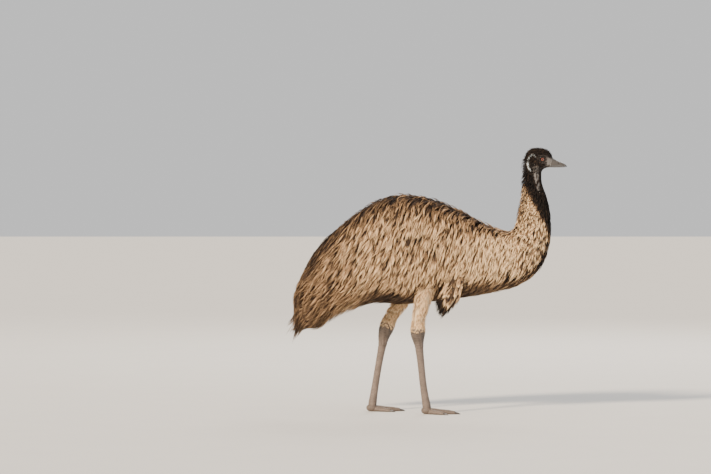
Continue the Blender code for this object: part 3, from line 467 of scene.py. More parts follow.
def shorter_over_wings(place, angle, length):
    """Shorter lengths for the feathers that would hang down over a wing or a thigh's top."""
    root = spine_point(place, angle, np.zeros(len(place)))
    way = lie_of(place, angle)
    low_x, high_x, top_z = SHORT_OVER
    tip_x = root[:, 0] + way[:, 0] * length
    over = within(tip_x, low_x, high_x, 0.03) * within(np.abs(angle), 1.1, 2.3, 0.2)
    most = np.maximum(root[:, 2] - top_z, 0.045) / np.maximum(-way[:, 2], 0.2)
    return np.where(over > 0.5, np.minimum(length, most), length)


def even_roots(low, high, side, spacing, dice, angles=(0.0, math.pi)):
    """Root places and angles, evenly spread over one side between two places: a jittered
    lattice that keeps its spacing however the body narrows."""
    places, turns = [], []
    fine = np.linspace(low, high, 240)
    middle = spine_point(fine, np.full(240, math.pi / 2), np.zeros(240))
    run = np.concatenate(([0.0], np.cumsum(np.linalg.norm(np.diff(middle, axis=0), axis=1))))
    across = np.linspace(angles[0], angles[1], 60)
    rings = max(1, int(run[-1] / spacing))
    for k in range(rings):
        place = np.interp((k + 0.5) / rings * run[-1], run, fine)
        ring = spine_point(np.full(60, place), across, np.zeros(60))
        around = np.concatenate(([0.0], np.cumsum(np.linalg.norm(np.diff(ring, axis=0), axis=1))))
        count = max(1, int(around[-1] / spacing))
        at = (np.arange(count) + 0.5 * (k % 2) + 0.25 + dice.uniform(-0.45, 0.45, count)) / count
        turn = np.interp(np.clip(at, 0.0, 1.0) * around[-1], around, across)
        step = (fine[-1] - fine[0]) / rings
        places.append(place + dice.uniform(-0.5, 0.5, count) * step)
        turns.append(side * turn)
    return np.concatenate(places), np.concatenate(turns)


# The side of one feather's patch on OFBake
OFBAKE_PATCH = 0.003

Plume = namedtuple("Plume", "strands spread gather width thick rows stray")


def tufted(name, path, normal, plume, dice, tone, fleck, uv_at):
    """One mesh of feathers along paths: each feather is several thin strands, which spread
    and gather again to its tip. tone is each feather's paleness, and fleck how strongly it
    is banded."""
    feathers = path.shape[1]
    rows = plume.rows
    steps = len(path)
    shares = np.linspace(0.0, 1.0, rows + 1)
    fan = (np.arange(plume.strands) + 0.5) / plume.strands * 2.0 - 1.0
    fan = fan[None, :] + dice.uniform(-0.5, 0.5, (feathers, plume.strands)) * 2.0 / plume.strands
    deep = dice.uniform(-1.0, 1.0, (feathers, plume.strands))
    reach = dice.uniform(0.80, 1.0, (feathers, plume.strands)) - 0.10 * np.abs(fan)
    start = dice.uniform(0.0, 0.06, (feathers, plume.strands))
    wave = dice.uniform(0.0, 2.0 * math.pi, (feathers, plume.strands))
    twist = dice.normal(0.0, 0.45, (feathers, plume.strands))
    feather = np.arange(feathers)[:, None]
    centres, sides, outs = [], [], []
    for share in shares:
        s = np.clip(start + (reach - start) * share, 0.0, 1.0) * (steps - 1)
        low = np.minimum(s.astype(int), steps - 2)
        t = (s - low)[..., None]
        at = path[low, feather] * (1 - t) + path[low + 1, feather] * t
        out = unit(normal[low, feather] * (1 - t) + normal[low + 1, feather] * t)
        way = unit(path[low + 1, feather] - path[low, feather])
        side = unit(np.cross(out, way))
        opened = plume.spread * (0.45 + 0.85 * math.sin(math.pi * min(share * 0.9 + 0.08, 1.0)))
        closing = plume.spread * plume.gather
        offset = fan * (opened * (1 - share) + closing * share)
        offset = offset + np.sin(wave + share * 5.0) * plume.spread * 0.16 * share
        rise = deep * plume.spread * 0.28 * (0.3 + share * 0.7)
        centres.append(at + side * offset[..., None] + out * rise[..., None])
        c, n = np.cos(twist)[..., None], np.sin(twist)[..., None]
        sides.append(side * c + out * n)
        outs.append(out * c - side * n)
    widths = np.interp(shares, (0.0, 0.3, 0.75, 1.0), (0.55, 1.0, 0.72, 0.0))
    spare = dice.uniform(0.7, 1.3, (feathers, plume.strands))
    rings, along = [], []
    clump = dice.normal(0.0, 1.0, feathers)
    strand = dice.normal(0.0, 1.0, (feathers, plume.strands))
    for k, share in enumerate(shares[:-1]):
        half = (plume.width / 2) * widths[k] * spare
        deepness = plume.thick * widths[k] * spare
        left = centres[k] + sides[k] * half[..., None]
        right = centres[k] - sides[k] * half[..., None]
        top = centres[k] + outs[k] * deepness[..., None]
        rings.append(np.stack((left, top, right), axis=2))
        along.append(np.full((feathers, plume.strands, 3), share))
    body = np.stack(rings, axis=2).reshape(feathers, plume.strands, rows * 3, 3)
    points = np.concatenate((body, centres[-1][:, :, None, :]), axis=2)
    per = rows * 3 + 1
    share_of = np.concatenate(
        (np.stack(along, axis=2).reshape(feathers, plume.strands, rows * 3),
         np.ones((feathers, plume.strands, 1))), axis=2)
    total = feathers * plume.strands
    faces = strand_faces(rows)[None] + (np.arange(total) * per)[:, None, None]
    uv = np.repeat(uv_at[:, None, None, :], plume.strands, axis=1)
    patch = np.empty((feathers, plume.strands, per, 2))
    patch[..., 0] = uv[..., 0] + (share_of - 0.5) * OFBAKE_PATCH
    lane = (np.arange(per) % 3 - 1.0) / 3.0
    lane[-1] = 0.0
    width_share = (fan / 2)[..., None] + lane[None, None, :] / plume.strands
    patch[..., 1] = uv[..., 1] + width_share * OFBAKE_PATCH
    numbers = {
        "tone": np.broadcast_to(tone[:, None, None], share_of.shape),
        "along": share_of,
        "fleck": np.broadcast_to(fleck[:, None, None], share_of.shape),
        "clump": np.broadcast_to(clump[:, None, None], share_of.shape),
        "strand": np.broadcast_to(strand[:, :, None], share_of.shape),
    }
    points = points.reshape(-1, 3)
    faces = faces.reshape(-1, 3)
    if signed_volume(points[:per], strand_faces(rows)) < 0:
        faces = faces[:, ::-1]
    return triangles_object(name, points + SHIFT, faces, numbers, patch.reshape(-1, 2))


def strand_faces(rows):
    """Triangles of one strand: rings of three points, closed at the root, and a tip."""
    faces = [(0, 2, 1)]
    for row in range(rows - 1):
        low = row * 3
        for k in range(3):
            n = (k + 1) % 3
            faces.append((low + k, low + n, low + 3 + n))
            faces.append((low + k, low + 3 + n, low + 3 + k))
    last = (rows - 1) * 3
    for k in range(3):
        faces.append((last + k, last + (k + 1) % 3, rows * 3))
    return np.array(faces)


# Feather lengths at places along the spine
FEATHER_LENGTH = ((0.0, 0.15), (1.5, 0.20), (3.5, 0.185), (6.0, 0.165), (9.0, 0.150), (11.5, 0.135),
                  (12.5, 0.115), (13.5, 0.090), (15.0, 0.062), (16.0, 0.040), (17.0, 0.026), (18.6, 0.018),
                  (24.0, 0.011))


def grow_coat(name, low, high, side, spacing, plume, seed, slot, lift=(0.62, 1.05), angles=(0.0, math.pi),
              keep=None, tone=paleness, scale=1.0, fleck=1.0):
    """Feathers rooted evenly between two places on one side of the body."""
    dice = np.random.default_rng(seed)
    place, angle = even_roots(low, high, side, spacing, dice, angles)
    if keep is not None:
        chosen = keep(place, angle)
        place, angle = place[chosen], angle[chosen]
    length = np.interp(place, *zip(*FEATHER_LENGTH)) * dice.uniform(0.78, 1.14, len(place)) * scale
    length = shorter_over_wings(place, angle, length)
    count = len(place)
    rise = dice.uniform(lift[0], lift[1], count)
    turn = dice.normal(0.0, plume.stray, count)
    curl = dice.normal(0.0, plume.stray * 1.3, count)
    if low < TAIL_FRONT + 2.0:
        length = inside_reach(place, angle, length, rise, turn, curl, dice)
    path, normal, shown = feather_paths(place, angle, length, rise, turn, curl, plume.rows + 3)
    flecks = np.full(count, fleck)
    coat = tufted(name, path, normal, plume, dice, tone(*shown), flecks, uv_of(place, angle))
    finish_piece(coat, material("plumage"))


# The numbers of a mix node's colour sockets, as its names are shared by other kinds of value
MIX_FIRST, MIX_SECOND, MIX_RESULT = 6, 7, 2


class Shader:
    """A material's node tree, with short calls for its nodes."""

    def __init__(self, name):
        self.material = bpy.data.materials.new(name)
        self.material.use_nodes = True
        self.tree = self.material.node_tree
        self.tree.nodes.clear()
        self.output = self.tree.nodes.new("ShaderNodeOutputMaterial")
        self.surface = self.tree.nodes.new("ShaderNodeBsdfPrincipled")
        self.tree.links.new(self.surface.outputs[0], self.output.inputs["Surface"])
        self.place = self.tree.nodes.new("ShaderNodeTexCoord")

    def put(self, socket, value):
        if isinstance(value, bpy.types.NodeSocket):
            self.tree.links.new(value, socket)
        else:
            socket.default_value = value

    def attribute(self, name):
        node = self.tree.nodes.new("ShaderNodeAttribute")
        node.attribute_name = name
        return node.outputs["Fac"]

    def sum(self, *parts):
        """The weighted sum of (socket, weight) pairs and plain numbers."""
        total = None
        for part in parts:
            if isinstance(part, tuple):
                part = self.maths("MULTIPLY", part[0], part[1])
            total = part if total is None else self.maths("ADD", total, part)
        return total

    def maths(self, operation, first, second=0.0):
        node = self.tree.nodes.new("ShaderNodeMath")
        node.operation = operation
        self.put(node.inputs[0], first)
        self.put(node.inputs[1], second)
        return node.outputs[0]

    def ramp(self, value, stops):
        node = self.tree.nodes.new("ShaderNodeValToRGB")
        elements = node.color_ramp.elements
        while len(elements) < len(stops):
            elements.new(0.5)
        for element, (at, colour) in zip(elements, stops):
            element.position = at
            shade = colour if isinstance(colour, (tuple, list)) else (colour, colour, colour)
            element.color = (*shade[:3], 1.0)
        self.put(node.inputs["Fac"], value)
        return node.outputs["Color"]

    def texture(self, kind, scale, stretch):
        """A texture node in the object's own space, stretched along its axes."""
        mapping = self.tree.nodes.new("ShaderNodeMapping")
        mapping.inputs["Scale"].default_value = stretch
        self.put(mapping.inputs["Vector"], self.place.outputs["Object"])
        node = self.tree.nodes.new(kind)
        node.inputs["Scale"].default_value = scale
        self.put(node.inputs["Vector"], mapping.outputs[0])
        return node

    def noise(self, scale, detail=4.0, stretch=(1.0, 1.0, 1.0)):
        node = self.texture("ShaderNodeTexNoise", scale, stretch)
        node.inputs["Detail"].default_value = detail
        return node.outputs["Fac"]

    def scales(self, size, stretch=(1.0, 1.0, 1.0)):
        """The distance to the edge between horny scales of a size in metres."""
        node = self.texture("ShaderNodeTexVoronoi", 1.0 / size, stretch)
        node.feature = "DISTANCE_TO_EDGE"
        return node.outputs["Distance"]

    def mix(self, share, first, second, blend="MIX"):
        node = self.tree.nodes.new("ShaderNodeMix")
        node.data_type = "RGBA"
        node.blend_type = blend
        self.put(node.inputs["Factor"], share)
        self.put(node.inputs[MIX_FIRST], first)
        self.put(node.inputs[MIX_SECOND], second)
        return node.outputs[MIX_RESULT]

    def bump(self, height, depth, strength=1.0):
        node = self.tree.nodes.new("ShaderNodeBump")
        node.inputs["Strength"].default_value = strength
        node.inputs["Distance"].default_value = depth
        self.put(node.inputs["Height"], height)
        self.put(self.surface.inputs["Normal"], node.outputs[0])

    def finish(self, colour, roughness, **values):
        self.put(self.surface.inputs["Base Color"], colour)
        self.put(self.surface.inputs["Roughness"], roughness)
        for key, value in values.items():
            self.surface.inputs[key.replace("_", " ")].default_value = value
        return self.material


def shaded(colour, factor):
    """A colour made darker or lighter by a factor."""
    return tuple(min(max(c * factor, 0.0), 1.0) for c in colour[:3])


def plumage_material():
    look = bpy.context.scene.emu_coat
    make = Shader("plumage")
    along = make.maths("ADD", make.attribute("along"), make.maths("MULTIPLY", make.attribute("clump"), 0.05))
    banding = make.ramp(along, (
        (0.0, 0.10), (0.54, 0.26), (0.64, 0.82), (0.89, 1.0), (0.935, 0.26), (1.0, 0.05)))
    tone = make.attribute("tone")
    banded = make.maths("SUBTRACT", banding, 0.52)
    contrast = make.maths("MULTIPLY", make.maths("POWER", tone, 1.5), make.attribute("fleck"))
    contrast = make.sum((contrast, 1.50), 0.05)
    value = make.sum(
        tone,
        make.maths("MULTIPLY", banded, contrast),
        (make.attribute("clump"), 0.10),
        (make.attribute("strand"), 0.115),
        (make.noise(26.0, 3.0), 0.22),
        -0.11,
    )
    colour = make.ramp(value, (
        (0.0, (0.0075, 0.0055, 0.0050)),
        (0.16, (0.022, 0.0145, 0.0108)),
        (0.34, look.dark_colour[:3]),
        (0.52, shaded(look.buff_colour, 0.42)),
        (0.72, look.buff_colour[:3]),
        (1.0, look.cream_colour[:3]),
    ))
    make.bump(make.noise(900.0, 2.0), 0.0004, 0.35)
    return make.finish(colour, 0.70, Specular_IOR_Level=0.20)


def hide_material():
    """Skin: dark brown under the coat, as painted shade in the gaps between its feathers, and bare grey,
    black or bluish white on the head.
    """
    look = bpy.context.scene.emu_skin
    make = Shader("hide")
    value = make.sum(make.attribute("bare"), (make.noise(140.0, 5.0), 0.16), -0.08)
    face = make.ramp(value, (
        (0.0, (0.006, 0.005, 0.005)),
        (0.25, (0.030, 0.025, 0.023)),
        (0.50, look.face_colour[:3]),
        (0.74, (0.30, 0.30, 0.30)),
        (1.0, look.ear_colour[:3]),
    ))
    # The skin under the coat follows the coat's markings but is far darker than its feathers: painted shade
    # that shows in the gaps between them.
    under = make.ramp(make.sum(make.attribute("tone"), (make.noise(60.0, 4.0), 0.25), -0.12), (
        (0.0, (0.006, 0.0045, 0.004)),
        (0.5, (0.040, 0.027, 0.019)),
        (0.86, (0.16, 0.110, 0.068)),
        (1.0, (0.62, 0.46, 0.29)),
    ))
    colour = make.mix(make.attribute("face"), under, face)
    pores = make.sum((make.scales(0.0016), 0.6), (make.noise(420.0, 4.0), 0.5))
    make.bump(pores, 0.0007, 0.7)
    roughness = make.ramp(make.noise(90.0, 3.0), ((0.0, 0.46), (1.0, 0.68)))
    wet = make.maths("MULTIPLY", make.attribute("face"), make.attribute("bare"))
    make.put(make.surface.inputs["Specular IOR Level"], make.maths("MULTIPLY", wet, 0.5))
    return make.finish(colour, roughness)


def horn_material(name, colour, tip_colour, grain, roughness):
    """Horn whose colour runs from the root to the tip by its own tone."""
    make = Shader(name)
    share = make.sum(make.attribute("tone"), (make.noise(75.0, 5.0, grain), 0.34), -0.17)
    shade = make.ramp(share, (
        (0.0, shaded(colour, 0.62)),
        (0.30, colour[:3]),
        (0.62, shaded(colour, 1.35)),
        (0.86, tip_colour[:3]),
        (1.0, shaded(tip_colour, 0.5)),
    ))
    fine = make.sum((make.noise(300.0, 5.0, grain), 0.7), (make.noise(60.0, 3.0, grain), 0.5))
    make.bump(fine, 0.0006, 0.55)
    rough = make.ramp(make.noise(160.0, 3.0), ((0.0, roughness - 0.10), (1.0, roughness + 0.14)))
    return make.finish(shade, rough, Specular_IOR_Level=0.5, Coat_Weight=0.08, Coat_Roughness=0.35)


def scale_material():
    """Horny leg skin: small dark-edged scales beside the plates that the mesh carries."""
    look = bpy.context.scene.emu_skin
    make = Shader("leg scales")
    edge = make.scales(0.0046, (1.0, 1.0, 0.80))
    plates = make.ramp(edge, ((0.0, 0.0), (0.10, 0.75), (0.30, 1.0)))
    value = make.sum(make.attribute("tone"), (make.noise(38.0, 6.0), 0.44), -0.22)
    colour = make.ramp(value, (
        (0.0, shaded(look.leg_colour, 0.22)),
        (0.30, shaded(look.leg_colour, 0.60)),
        (0.58, look.leg_colour[:3]),
        (0.85, shaded(look.leg_colour, 1.70)),
        (1.0, (0.52, 0.45, 0.38)),
    ))
    colour = make.mix(1.0, colour, make.ramp(plates, ((0.0, 0.62), (1.0, 1.0))), "MULTIPLY")
    make.bump(make.sum((plates, 0.8), (make.noise(260.0, 4.0), 0.35)), 0.0009, 0.8)
    rough = make.ramp(plates, ((0.0, 0.72), (1.0, 0.50)))
    return make.finish(colour, rough, Specular_IOR_Level=0.42)


def eye_material():
    """A wet eye: black pupil, streaked orange-brown iris and a dark rim, by distance from
    the middle of the pupil."""
    look = bpy.context.scene.emu_skin
    make = Shader("eye")
    out = make.attribute("tone")
    streaks = make.noise(700.0, 3.0)
    value = make.sum(out, (streaks, 0.10), -0.05)
    colour = make.ramp(value, (
        (0.0, (0.002, 0.002, 0.002)),
        (0.37, (0.003, 0.002, 0.002)),
        (0.43, shaded(look.eye_colour, 0.55)),
        (0.62, look.eye_colour[:3]),
        (0.80, shaded(look.eye_colour, 0.40)),
        (0.90, (0.010, 0.006, 0.005)),
    ))
    return make.finish(colour, 0.06, Specular_IOR_Level=0.6, Coat_Weight=1.0, Coat_Roughness=0.02, IOR=1.38)


MAKERS = {
    "plumage": plumage_material,
    "hide": hide_material,
    "scales": scale_material,
    "eye": eye_material,
    "bill": lambda: horn_material("bill horn", bpy.context.scene.emu_skin.bill_colour,
                                  (0.022, 0.019, 0.018), (0.35, 1.0, 1.6), 0.42),
    "claw": lambda: horn_material("claw horn", (0.055, 0.046, 0.042), (0.020, 0.017, 0.016),
                                  (0.35, 1.0, 1.6), 0.34),
}


def material(name):
    """A finish of the bird, made when it is first asked for."""
    found = bpy.data.materials.get("emu " + name)
    if found is None:
        found = MAKERS[name]()
        found.name = "emu " + name
    return found


def oval(x, z, centre, reach_x, reach_z):
    """Distance in side view from the centre of an oval, counted so that it is 1 at the edge."""
    return np.hypot((x - centre[0]) / reach_x, (z - centre[1]) / reach_z)


def distance_to_line(x, z, line):
    """Distance in side view from points to a line through a list of points."""
    best = np.full(np.shape(x), 1e9)
    for (ax, az), (bx, bz) in zip(line, line[1:]):
        run, rise = bx - ax, bz - az
        t = np.clip(((x - ax) * run + (z - az) * rise) / (run * run + rise * rise), 0.0, 1.0)
        best = np.minimum(best, np.hypot(x - ax - t * run, z - az - t * rise))
    return best


def hump(distance, reach):
    return np.exp(-((distance / reach) ** 2))


# Lines on the face in side view: the corner of the mouth, and the bare streak down the throat
MOUTH_CORNER = ((0.583, 1.2592), (0.600, 1.2600), (0.622, 1.2606))
THROAT_STREAK = ((0.546, 1.246), (0.546, 1.215), (0.552, 1.175), (0.558, 1.142))


def throat_bare(x, z):
    """How bare the side of the throat is: a streak that narrows down from the ear."""
    half = np.interp(z, (1.130, 1.190, 1.250), (0.0080, 0.0150, 0.0220))
    return smooth_step(1.5 - distance_to_line(x, z, THROAT_STREAK) / half)


def face_relief(x, z):
    """How far the face's skin stands out, in metres, at a place in side view."""
    socket = oval(x, z, EYE, 0.0150, 0.0128)
    relief = -0.0050 * smooth_step((1.05 - socket) / 0.5) + 0.0010 * hump(socket - 1.35, 0.22)
    relief = relief + 0.0020 * hump(oval(x, z, (0.580, 1.3130), 0.024, 0.0055), 1.0)
    relief = relief - 0.0011 * hump(oval(x, z, (0.606, 1.284), 0.014, 0.012), 1.0)
    mouth = distance_to_line(x, z, MOUTH_CORNER)
    relief = relief - 0.0018 * hump(mouth, 0.0013) + 0.0007 * hump(mouth - 0.0036, 0.0016)
    ear = oval(x, z, EAR, 0.0064, 0.0078)
    relief = relief - 0.0075 * hump(ear, 0.85) + 0.0014 * hump(ear - 1.45, 0.32)
    arc = distance_to_line(x, z, EAR_ARC)
    relief = relief + 0.0011 * hump(arc, 0.0055)
    folds = np.sin((x - 0.50) * 620.0 + (z - 1.25) * 260.0) * np.sin(z * 900.0)
    return relief + 0.00025 * folds * hump(np.hypot(x - 0.545, z - 1.262), 0.030)


def bare_tone(x, z):
    """The bare skin's tone, 0 black to 1 bluish white, at a place in side view."""
    tone = np.full(np.shape(x), 0.22)
    lores = smooth_step((x - 0.560) / 0.03) * smooth_step((1.312 - z) / 0.02)
    tone = tone + 0.30 * lores
    tone = tone - 0.30 * hump(oval(x, z, EYE, 0.0165, 0.0135) - 1.0, 0.26)
    tone = np.maximum(tone, 0.52 * throat_bare(x, z))
    tone = np.maximum(tone, 1.05 * smooth_step(1.6 - distance_to_line(x, z, EAR_ARC) / ARC_HALF))
    # The ear's opening is painted nearly black: painted shade in its hollow.
    in_ear = hump(np.hypot((x - EAR[0] - 0.002) / 0.011, (z - EAR[1] - 0.006) / 0.017), 1.0)
    tone = tone * (1.0 - 0.96 * in_ear)
    # A dark line along the crease at the mouth's corner: painted shade in the fold.
    tone = tone - 0.30 * hump(distance_to_line(x, z, MOUTH_CORNER), 0.0022)
    return np.clip(tone, 0.0, 1.0)


def face_share(place, x, z):
    """1 where the skin is bare face, 0 where it lies under the coat."""
    on_head = smooth_step((place - 17.9) / 0.8)
    return np.maximum(on_head, throat_bare(x, z))


def skin_grid():
    """The skin's rings with their places and angles, and the face's relief put on."""
    body = np.linspace(0.02, HEAD_START, 180)
    head = np.linspace(HEAD_START, HEAD_END, 230)[1:]
    places = np.concatenate((body, head))
    count = 144
    angles = round_angles(count)
    rings = []
    for place in places:
        at_place = np.full(count, place)
        at, normal, _, _ = surface_frame(at_place, angles, np.zeros(count))
        facing = smooth_step(np.abs(normal[:, 1]) * 1.5 - 0.25)
        relief = face_relief(at[:, 0], at[:, 2]) * smooth_step((place - 18.2) / 0.8) * facing
        rings.append(at + normal * relief[:, None])
    return places, angles, np.array(rings)


def line_rings(stations, side, count, points, shape=None, first=0.0, last=None):
    """Fine rings square to a leg's centre line. shape(share, angle) gives a relief in metres."""
    last = len(stations) - 1 if last is None else last
    rows = np.array(stations, float)
    rows[:, 1] *= side
    places = np.linspace(first, last, count)
    fine = along_rows(rows, places)
    ways = unit(np.gradient(fine[:, :3], axis=0))
    fore = unit(np.cross((0.0, 1.0, 0.0), ways))
    across = np.cross(ways, fore)
    angles = round_angles(points)
    rings = []
    for k, place in enumerate(places):
        relief = 0.0 if shape is None else shape(place, angles)
        deep = fine[k, 3] + relief
        wide = fine[k, 4] + relief
        offset = fore[k] * (np.cos(angles) * deep)[:, None]
        offset = offset + across[k] * (np.sin(angles) * wide)[:, None]
        rings.append(fine[k, :3] + offset)
    return places, angles, np.array(rings)


# The skin of the thigh, as a share of its outline, above and below a height
THIGH_SKIN, LOW_THIGH_SKIN, LOW_THIGH = 0.72, 0.86, 0.46


def thigh_stations(leg):
    """The skin of a thigh inside its feathers."""
    shares = [THIGH_SKIN if row[2] > LOW_THIGH else LOW_THIGH_SKIN for row in leg]
    return [(*row[:3], row[3] * share, row[4] * share) for row, share in zip(leg, shares)]


def nearest_values(points, known, values):
    """Values of the nearest known points, for points of a mesh that a Boolean has made."""
    tree = KDTree(len(known))
    for k, point in enumerate(known):
        tree.insert(point, k)
    tree.balance()
    found = np.array([tree.find(point)[1] for point in points])
    return [v[found] for v in values]


# Skin further from the body's than the gap and below the top is the thighs', which has its own tone
THIGH_GAP, THIGH_TOP, THIGH_TONE = 0.012, 0.64, 1.05


class EMU_OT_skin(Operator):
    """Make the one skin of tail, body, thighs, neck and head, which carries the coat"""

    bl_idname = "emu.skin"
    bl_label = "Skin"

    def execute(self, context):
        places, angles, rings = skin_grid()
        points, faces = capped_tube(rings)
        body = triangles_object("hide", points, faces)
        thighs = []
        for name, side, leg in SIDES:
            _, _, tube = line_rings(thigh_stations(leg), side, 60, 40, last=SOCK_END + 0.4)
            thigh_points, thigh_faces = capped_tube(tube)
            thighs.append(triangles_object("thigh_" + name, thigh_points, thigh_faces))
        group = bpy.data.collections.new("thighs")
        for thigh in thighs:
            group.objects.link(thigh)
        join = body.modifiers.new("join", "BOOLEAN")
        join.operation = "UNION"
        join.solver = "MANIFOLD"
        join.operand_type = "COLLECTION"
        join.collection = group
        made = bpy.data.meshes.new_from_object(body.evaluated_get(context.evaluated_depsgraph_get()))
        body.modifiers.remove(join)
        for thigh in thighs:
            bpy.data.objects.remove(thigh)
        bpy.data.collections.remove(group)
        body.data = made
        count = len(made.vertices)
        if count < len(points):
            raise RuntimeError("the thighs did not join the skin")
        at = np.empty(count * 3, np.float32)
        made.vertices.foreach_get("co", at)
        at = at.reshape(-1, 3)
        known = np.repeat(places, len(angles))
        turned = np.tile(angles, len(places))
        tone = paleness(known, turned)
        x, z = points[:-2, 0], points[:-2, 2]
        face = face_share(known, x, z)
        bare = bare_tone(x, z)
        values = nearest_values(at, points[:-2], [tone, face, bare, points[:-2]])
        far_off = (np.linalg.norm(values.pop() - at, axis=1) > THIGH_GAP) & (at[:, 2] < THIGH_TOP)
        values[0] = np.where(far_off, THIGH_TONE, values[0])
        values[1] = np.where(far_off, 0.0, values[1])
        for label, numbers in zip(("tone", "face", "bare"), values):
            layer = made.attributes.new(label, "FLOAT", "POINT")
            layer.data.foreach_set("value", np.asarray(numbers, np.float32))
        made.vertices.foreach_set("co", (at + SHIFT).astype(np.float32).ravel())
        made.update()
        made.shade_smooth()
        finish_piece(body, material("hide"), (
            "torso", "tail", "neck_lower", "neck_upper", "head", "tibia_l", "tibia_r"))
        return {"FINISHED"}


# Each feather: its strands, half its width, how far it closes at the tip, a strand's width
# and thickness, its rings, and how far its lie strays
BODY_PLUME = Plume(7, 0.0062, 0.30, 0.0020, 0.0006, 3, 0.13)
TAIL_PLUME = Plume(8, 0.0062, 0.28, 0.0019, 0.0006, 4, 0.15)
LOW_NECK_PLUME = Plume(7, 0.0050, 0.32, 0.0017, 0.0005, 3, 0.15)
NECK_PLUME = Plume(5, 0.0032, 0.50, 0.0012, 0.0004, 3, 0.24)
HEAD_PLUME = Plume(4, 0.0020, 0.70, 0.00085, 0.0003, 2, 0.30)
CROWN_PLUME = Plume(3, 0.0019, 0.90, 0.0009, 0.0003, 3, 0.30)
THIGH_PLUME = Plume(5, 0.0044, 0.45, 0.0016, 0.0005, 3, 0.16)
WING_PLUME = Plume(8, 0.0060, 0.30, 0.0020, 0.0006, 4, 0.06)


# Where the random draws of each coat start
SEEDS = {"body": 11, "tail": 31, "low neck": 41, "high neck": 51, "nape": 56, "head": 61,
         "thigh": 71, "ridge": 71, "wing": 81, "crown": 91}


def side_tag(side):
    return "r" if side < 0 else "l"


def seed_of(coat, side):
    """The seed of a coat on one side of the bird."""
    return SEEDS[coat] + int(side)


class EMU_OT_body_coat(Operator):
    """Grow the long mottled feathers of back, flanks and belly, a piece for each quarter"""

    bl_idname = "emu.body_coat"
    bl_label = "Body feathers"

    def execute(self, context):
        spacing = context.scene.emu_coat.body_spacing
        for side in (RIGHT, LEFT):
            for part, (low, high) in enumerate(zip(BODY_PARTS, BODY_PARTS[1:])):
                name = f"coat_body_{part + 1}_{side_tag(side)}"
                grow_coat(name, low, high, side, spacing, BODY_PLUME,
                          seed_of("body", side) + part, "plumage")
        return {"FINISHED"}


class EMU_OT_tail_coat(Operator):
    """Grow the long drooping feathers of rump and tail, a piece for each side"""

    bl_idname = "emu.tail_coat"
    bl_label = "Tail feathers"

    def execute(self, context):
        spacing = context.scene.emu_coat.body_spacing * 0.92
        for side in (RIGHT, LEFT):
            grow_coat(f"coat_tail_{side_tag(side)}", 0.1, TAIL_FRONT, side, spacing, TAIL_PLUME,
                      seed_of("tail", side), "plumage", fleck=0.62)
        return {"FINISHED"}


class EMU_OT_neck_coat(Operator):
    """Grow the pale feathers of breast and lower neck and the black ones above them"""

    bl_idname = "emu.neck_coat"
    bl_label = "Neck feathers"

    def execute(self, context):
        spacing = context.scene.emu_coat.neck_spacing
        for side in (RIGHT, LEFT):
            tag = side_tag(side)
            grow_coat("coat_neck_low_" + tag, NECK_START, BLACK_START, side, spacing * 1.25,
                      LOW_NECK_PLUME, seed_of("low neck", side), "pale_plumage", lift=(0.50, 1.05))
            grow_coat("coat_neck_high_" + tag, BLACK_START, HEAD_START, side, spacing * 0.60,
                      NECK_PLUME, seed_of("high neck", side), "dark_plumage",
                      lift=(0.30, 1.1), keep=off_bare_streak)
            grow_coat("coat_nape_" + tag, *NAPE, side, spacing * 0.85, NECK_PLUME, seed_of("nape", side),
                      "dark_plumage", lift=(0.9, 1.45), angles=(0.0, 0.75), tone=nape_tone, scale=1.6)
        return {"FINISHED"}


def nape_tone(place, angle):
    return 0.5 * paleness(place, angle)


def off_bare_streak(place, angle):
    """Thins the feathers over the bare skin of the throat's side."""
    at = spine_point(place, angle, np.zeros(len(place)))
    lot = np.mod(place * 37.13 + angle * 91.7, 1.0)
    return lot > throat_bare(at[:, 0], at[:, 2]) * 0.66


def off_bare_face(place, angle):
    """Keeps the head's feathers to the crown, nape and jaw, thinning towards the bare face."""
    at = spine_point(place, angle, np.zeros(len(place)))
    x, z = at[:, 0], at[:, 2]
    bare = smooth_step(1.25 - oval(x, z, EYE, 0.0175, 0.0145) * 0.75)
    bare = np.maximum(bare, smooth_step(1.9 - distance_to_line(x, z, EAR_ARC) / 0.0055))
    bare = np.maximum(bare, 1.2 * hump(oval(x, z, EAR, 0.010, 0.012), 1.0))
    bare = np.maximum(bare, 0.97 * smooth_step((x - 0.588) / 0.02) * smooth_step((1.318 - z) / 0.014))
    bare = np.maximum(bare, 0.62 * smooth_step((1.268 - z) / 0.02) * smooth_step((x - 0.545) / 0.02))
    bare = np.maximum(bare, 0.52 * throat_bare(x, z))
    lot = np.mod(place * 53.71 + angle * 77.3, 1.0)
    return lot > bare


def head_tone(place, angle):
    return np.full(len(place), 0.02)


def bristle_paths(place, angle, length, dice, rows):
    """Bristles that stand up from the skin and curve back over the crown."""
    at, normal, _, _ = surface_frame(place, angle, np.zeros(len(place)))
    back = lie_of(place, angle)
    stand = np.interp(place, (19.5, 21.0, 22.6, 23.4), (0.35, 0.50, 0.72, 0.95))
    stand = (stand + dice.normal(0.0, 0.10, len(place)))[:, None]
    side = np.cross(normal, back) * dice.normal(0.0, 0.22, len(place))[:, None]
    way = unit(normal * stand + back * (1.0 - stand) + side)
    points, normals = [], []
    for share in np.linspace(0.0, 1.0, rows):
        bend = back * (0.22 * share**2) - normal * (0.10 * share**2)
        points.append(at - normal * 0.001 + (way * share + bend) * length[:, None])
        normals.append(normal)
    return np.array(points), np.array(normals)


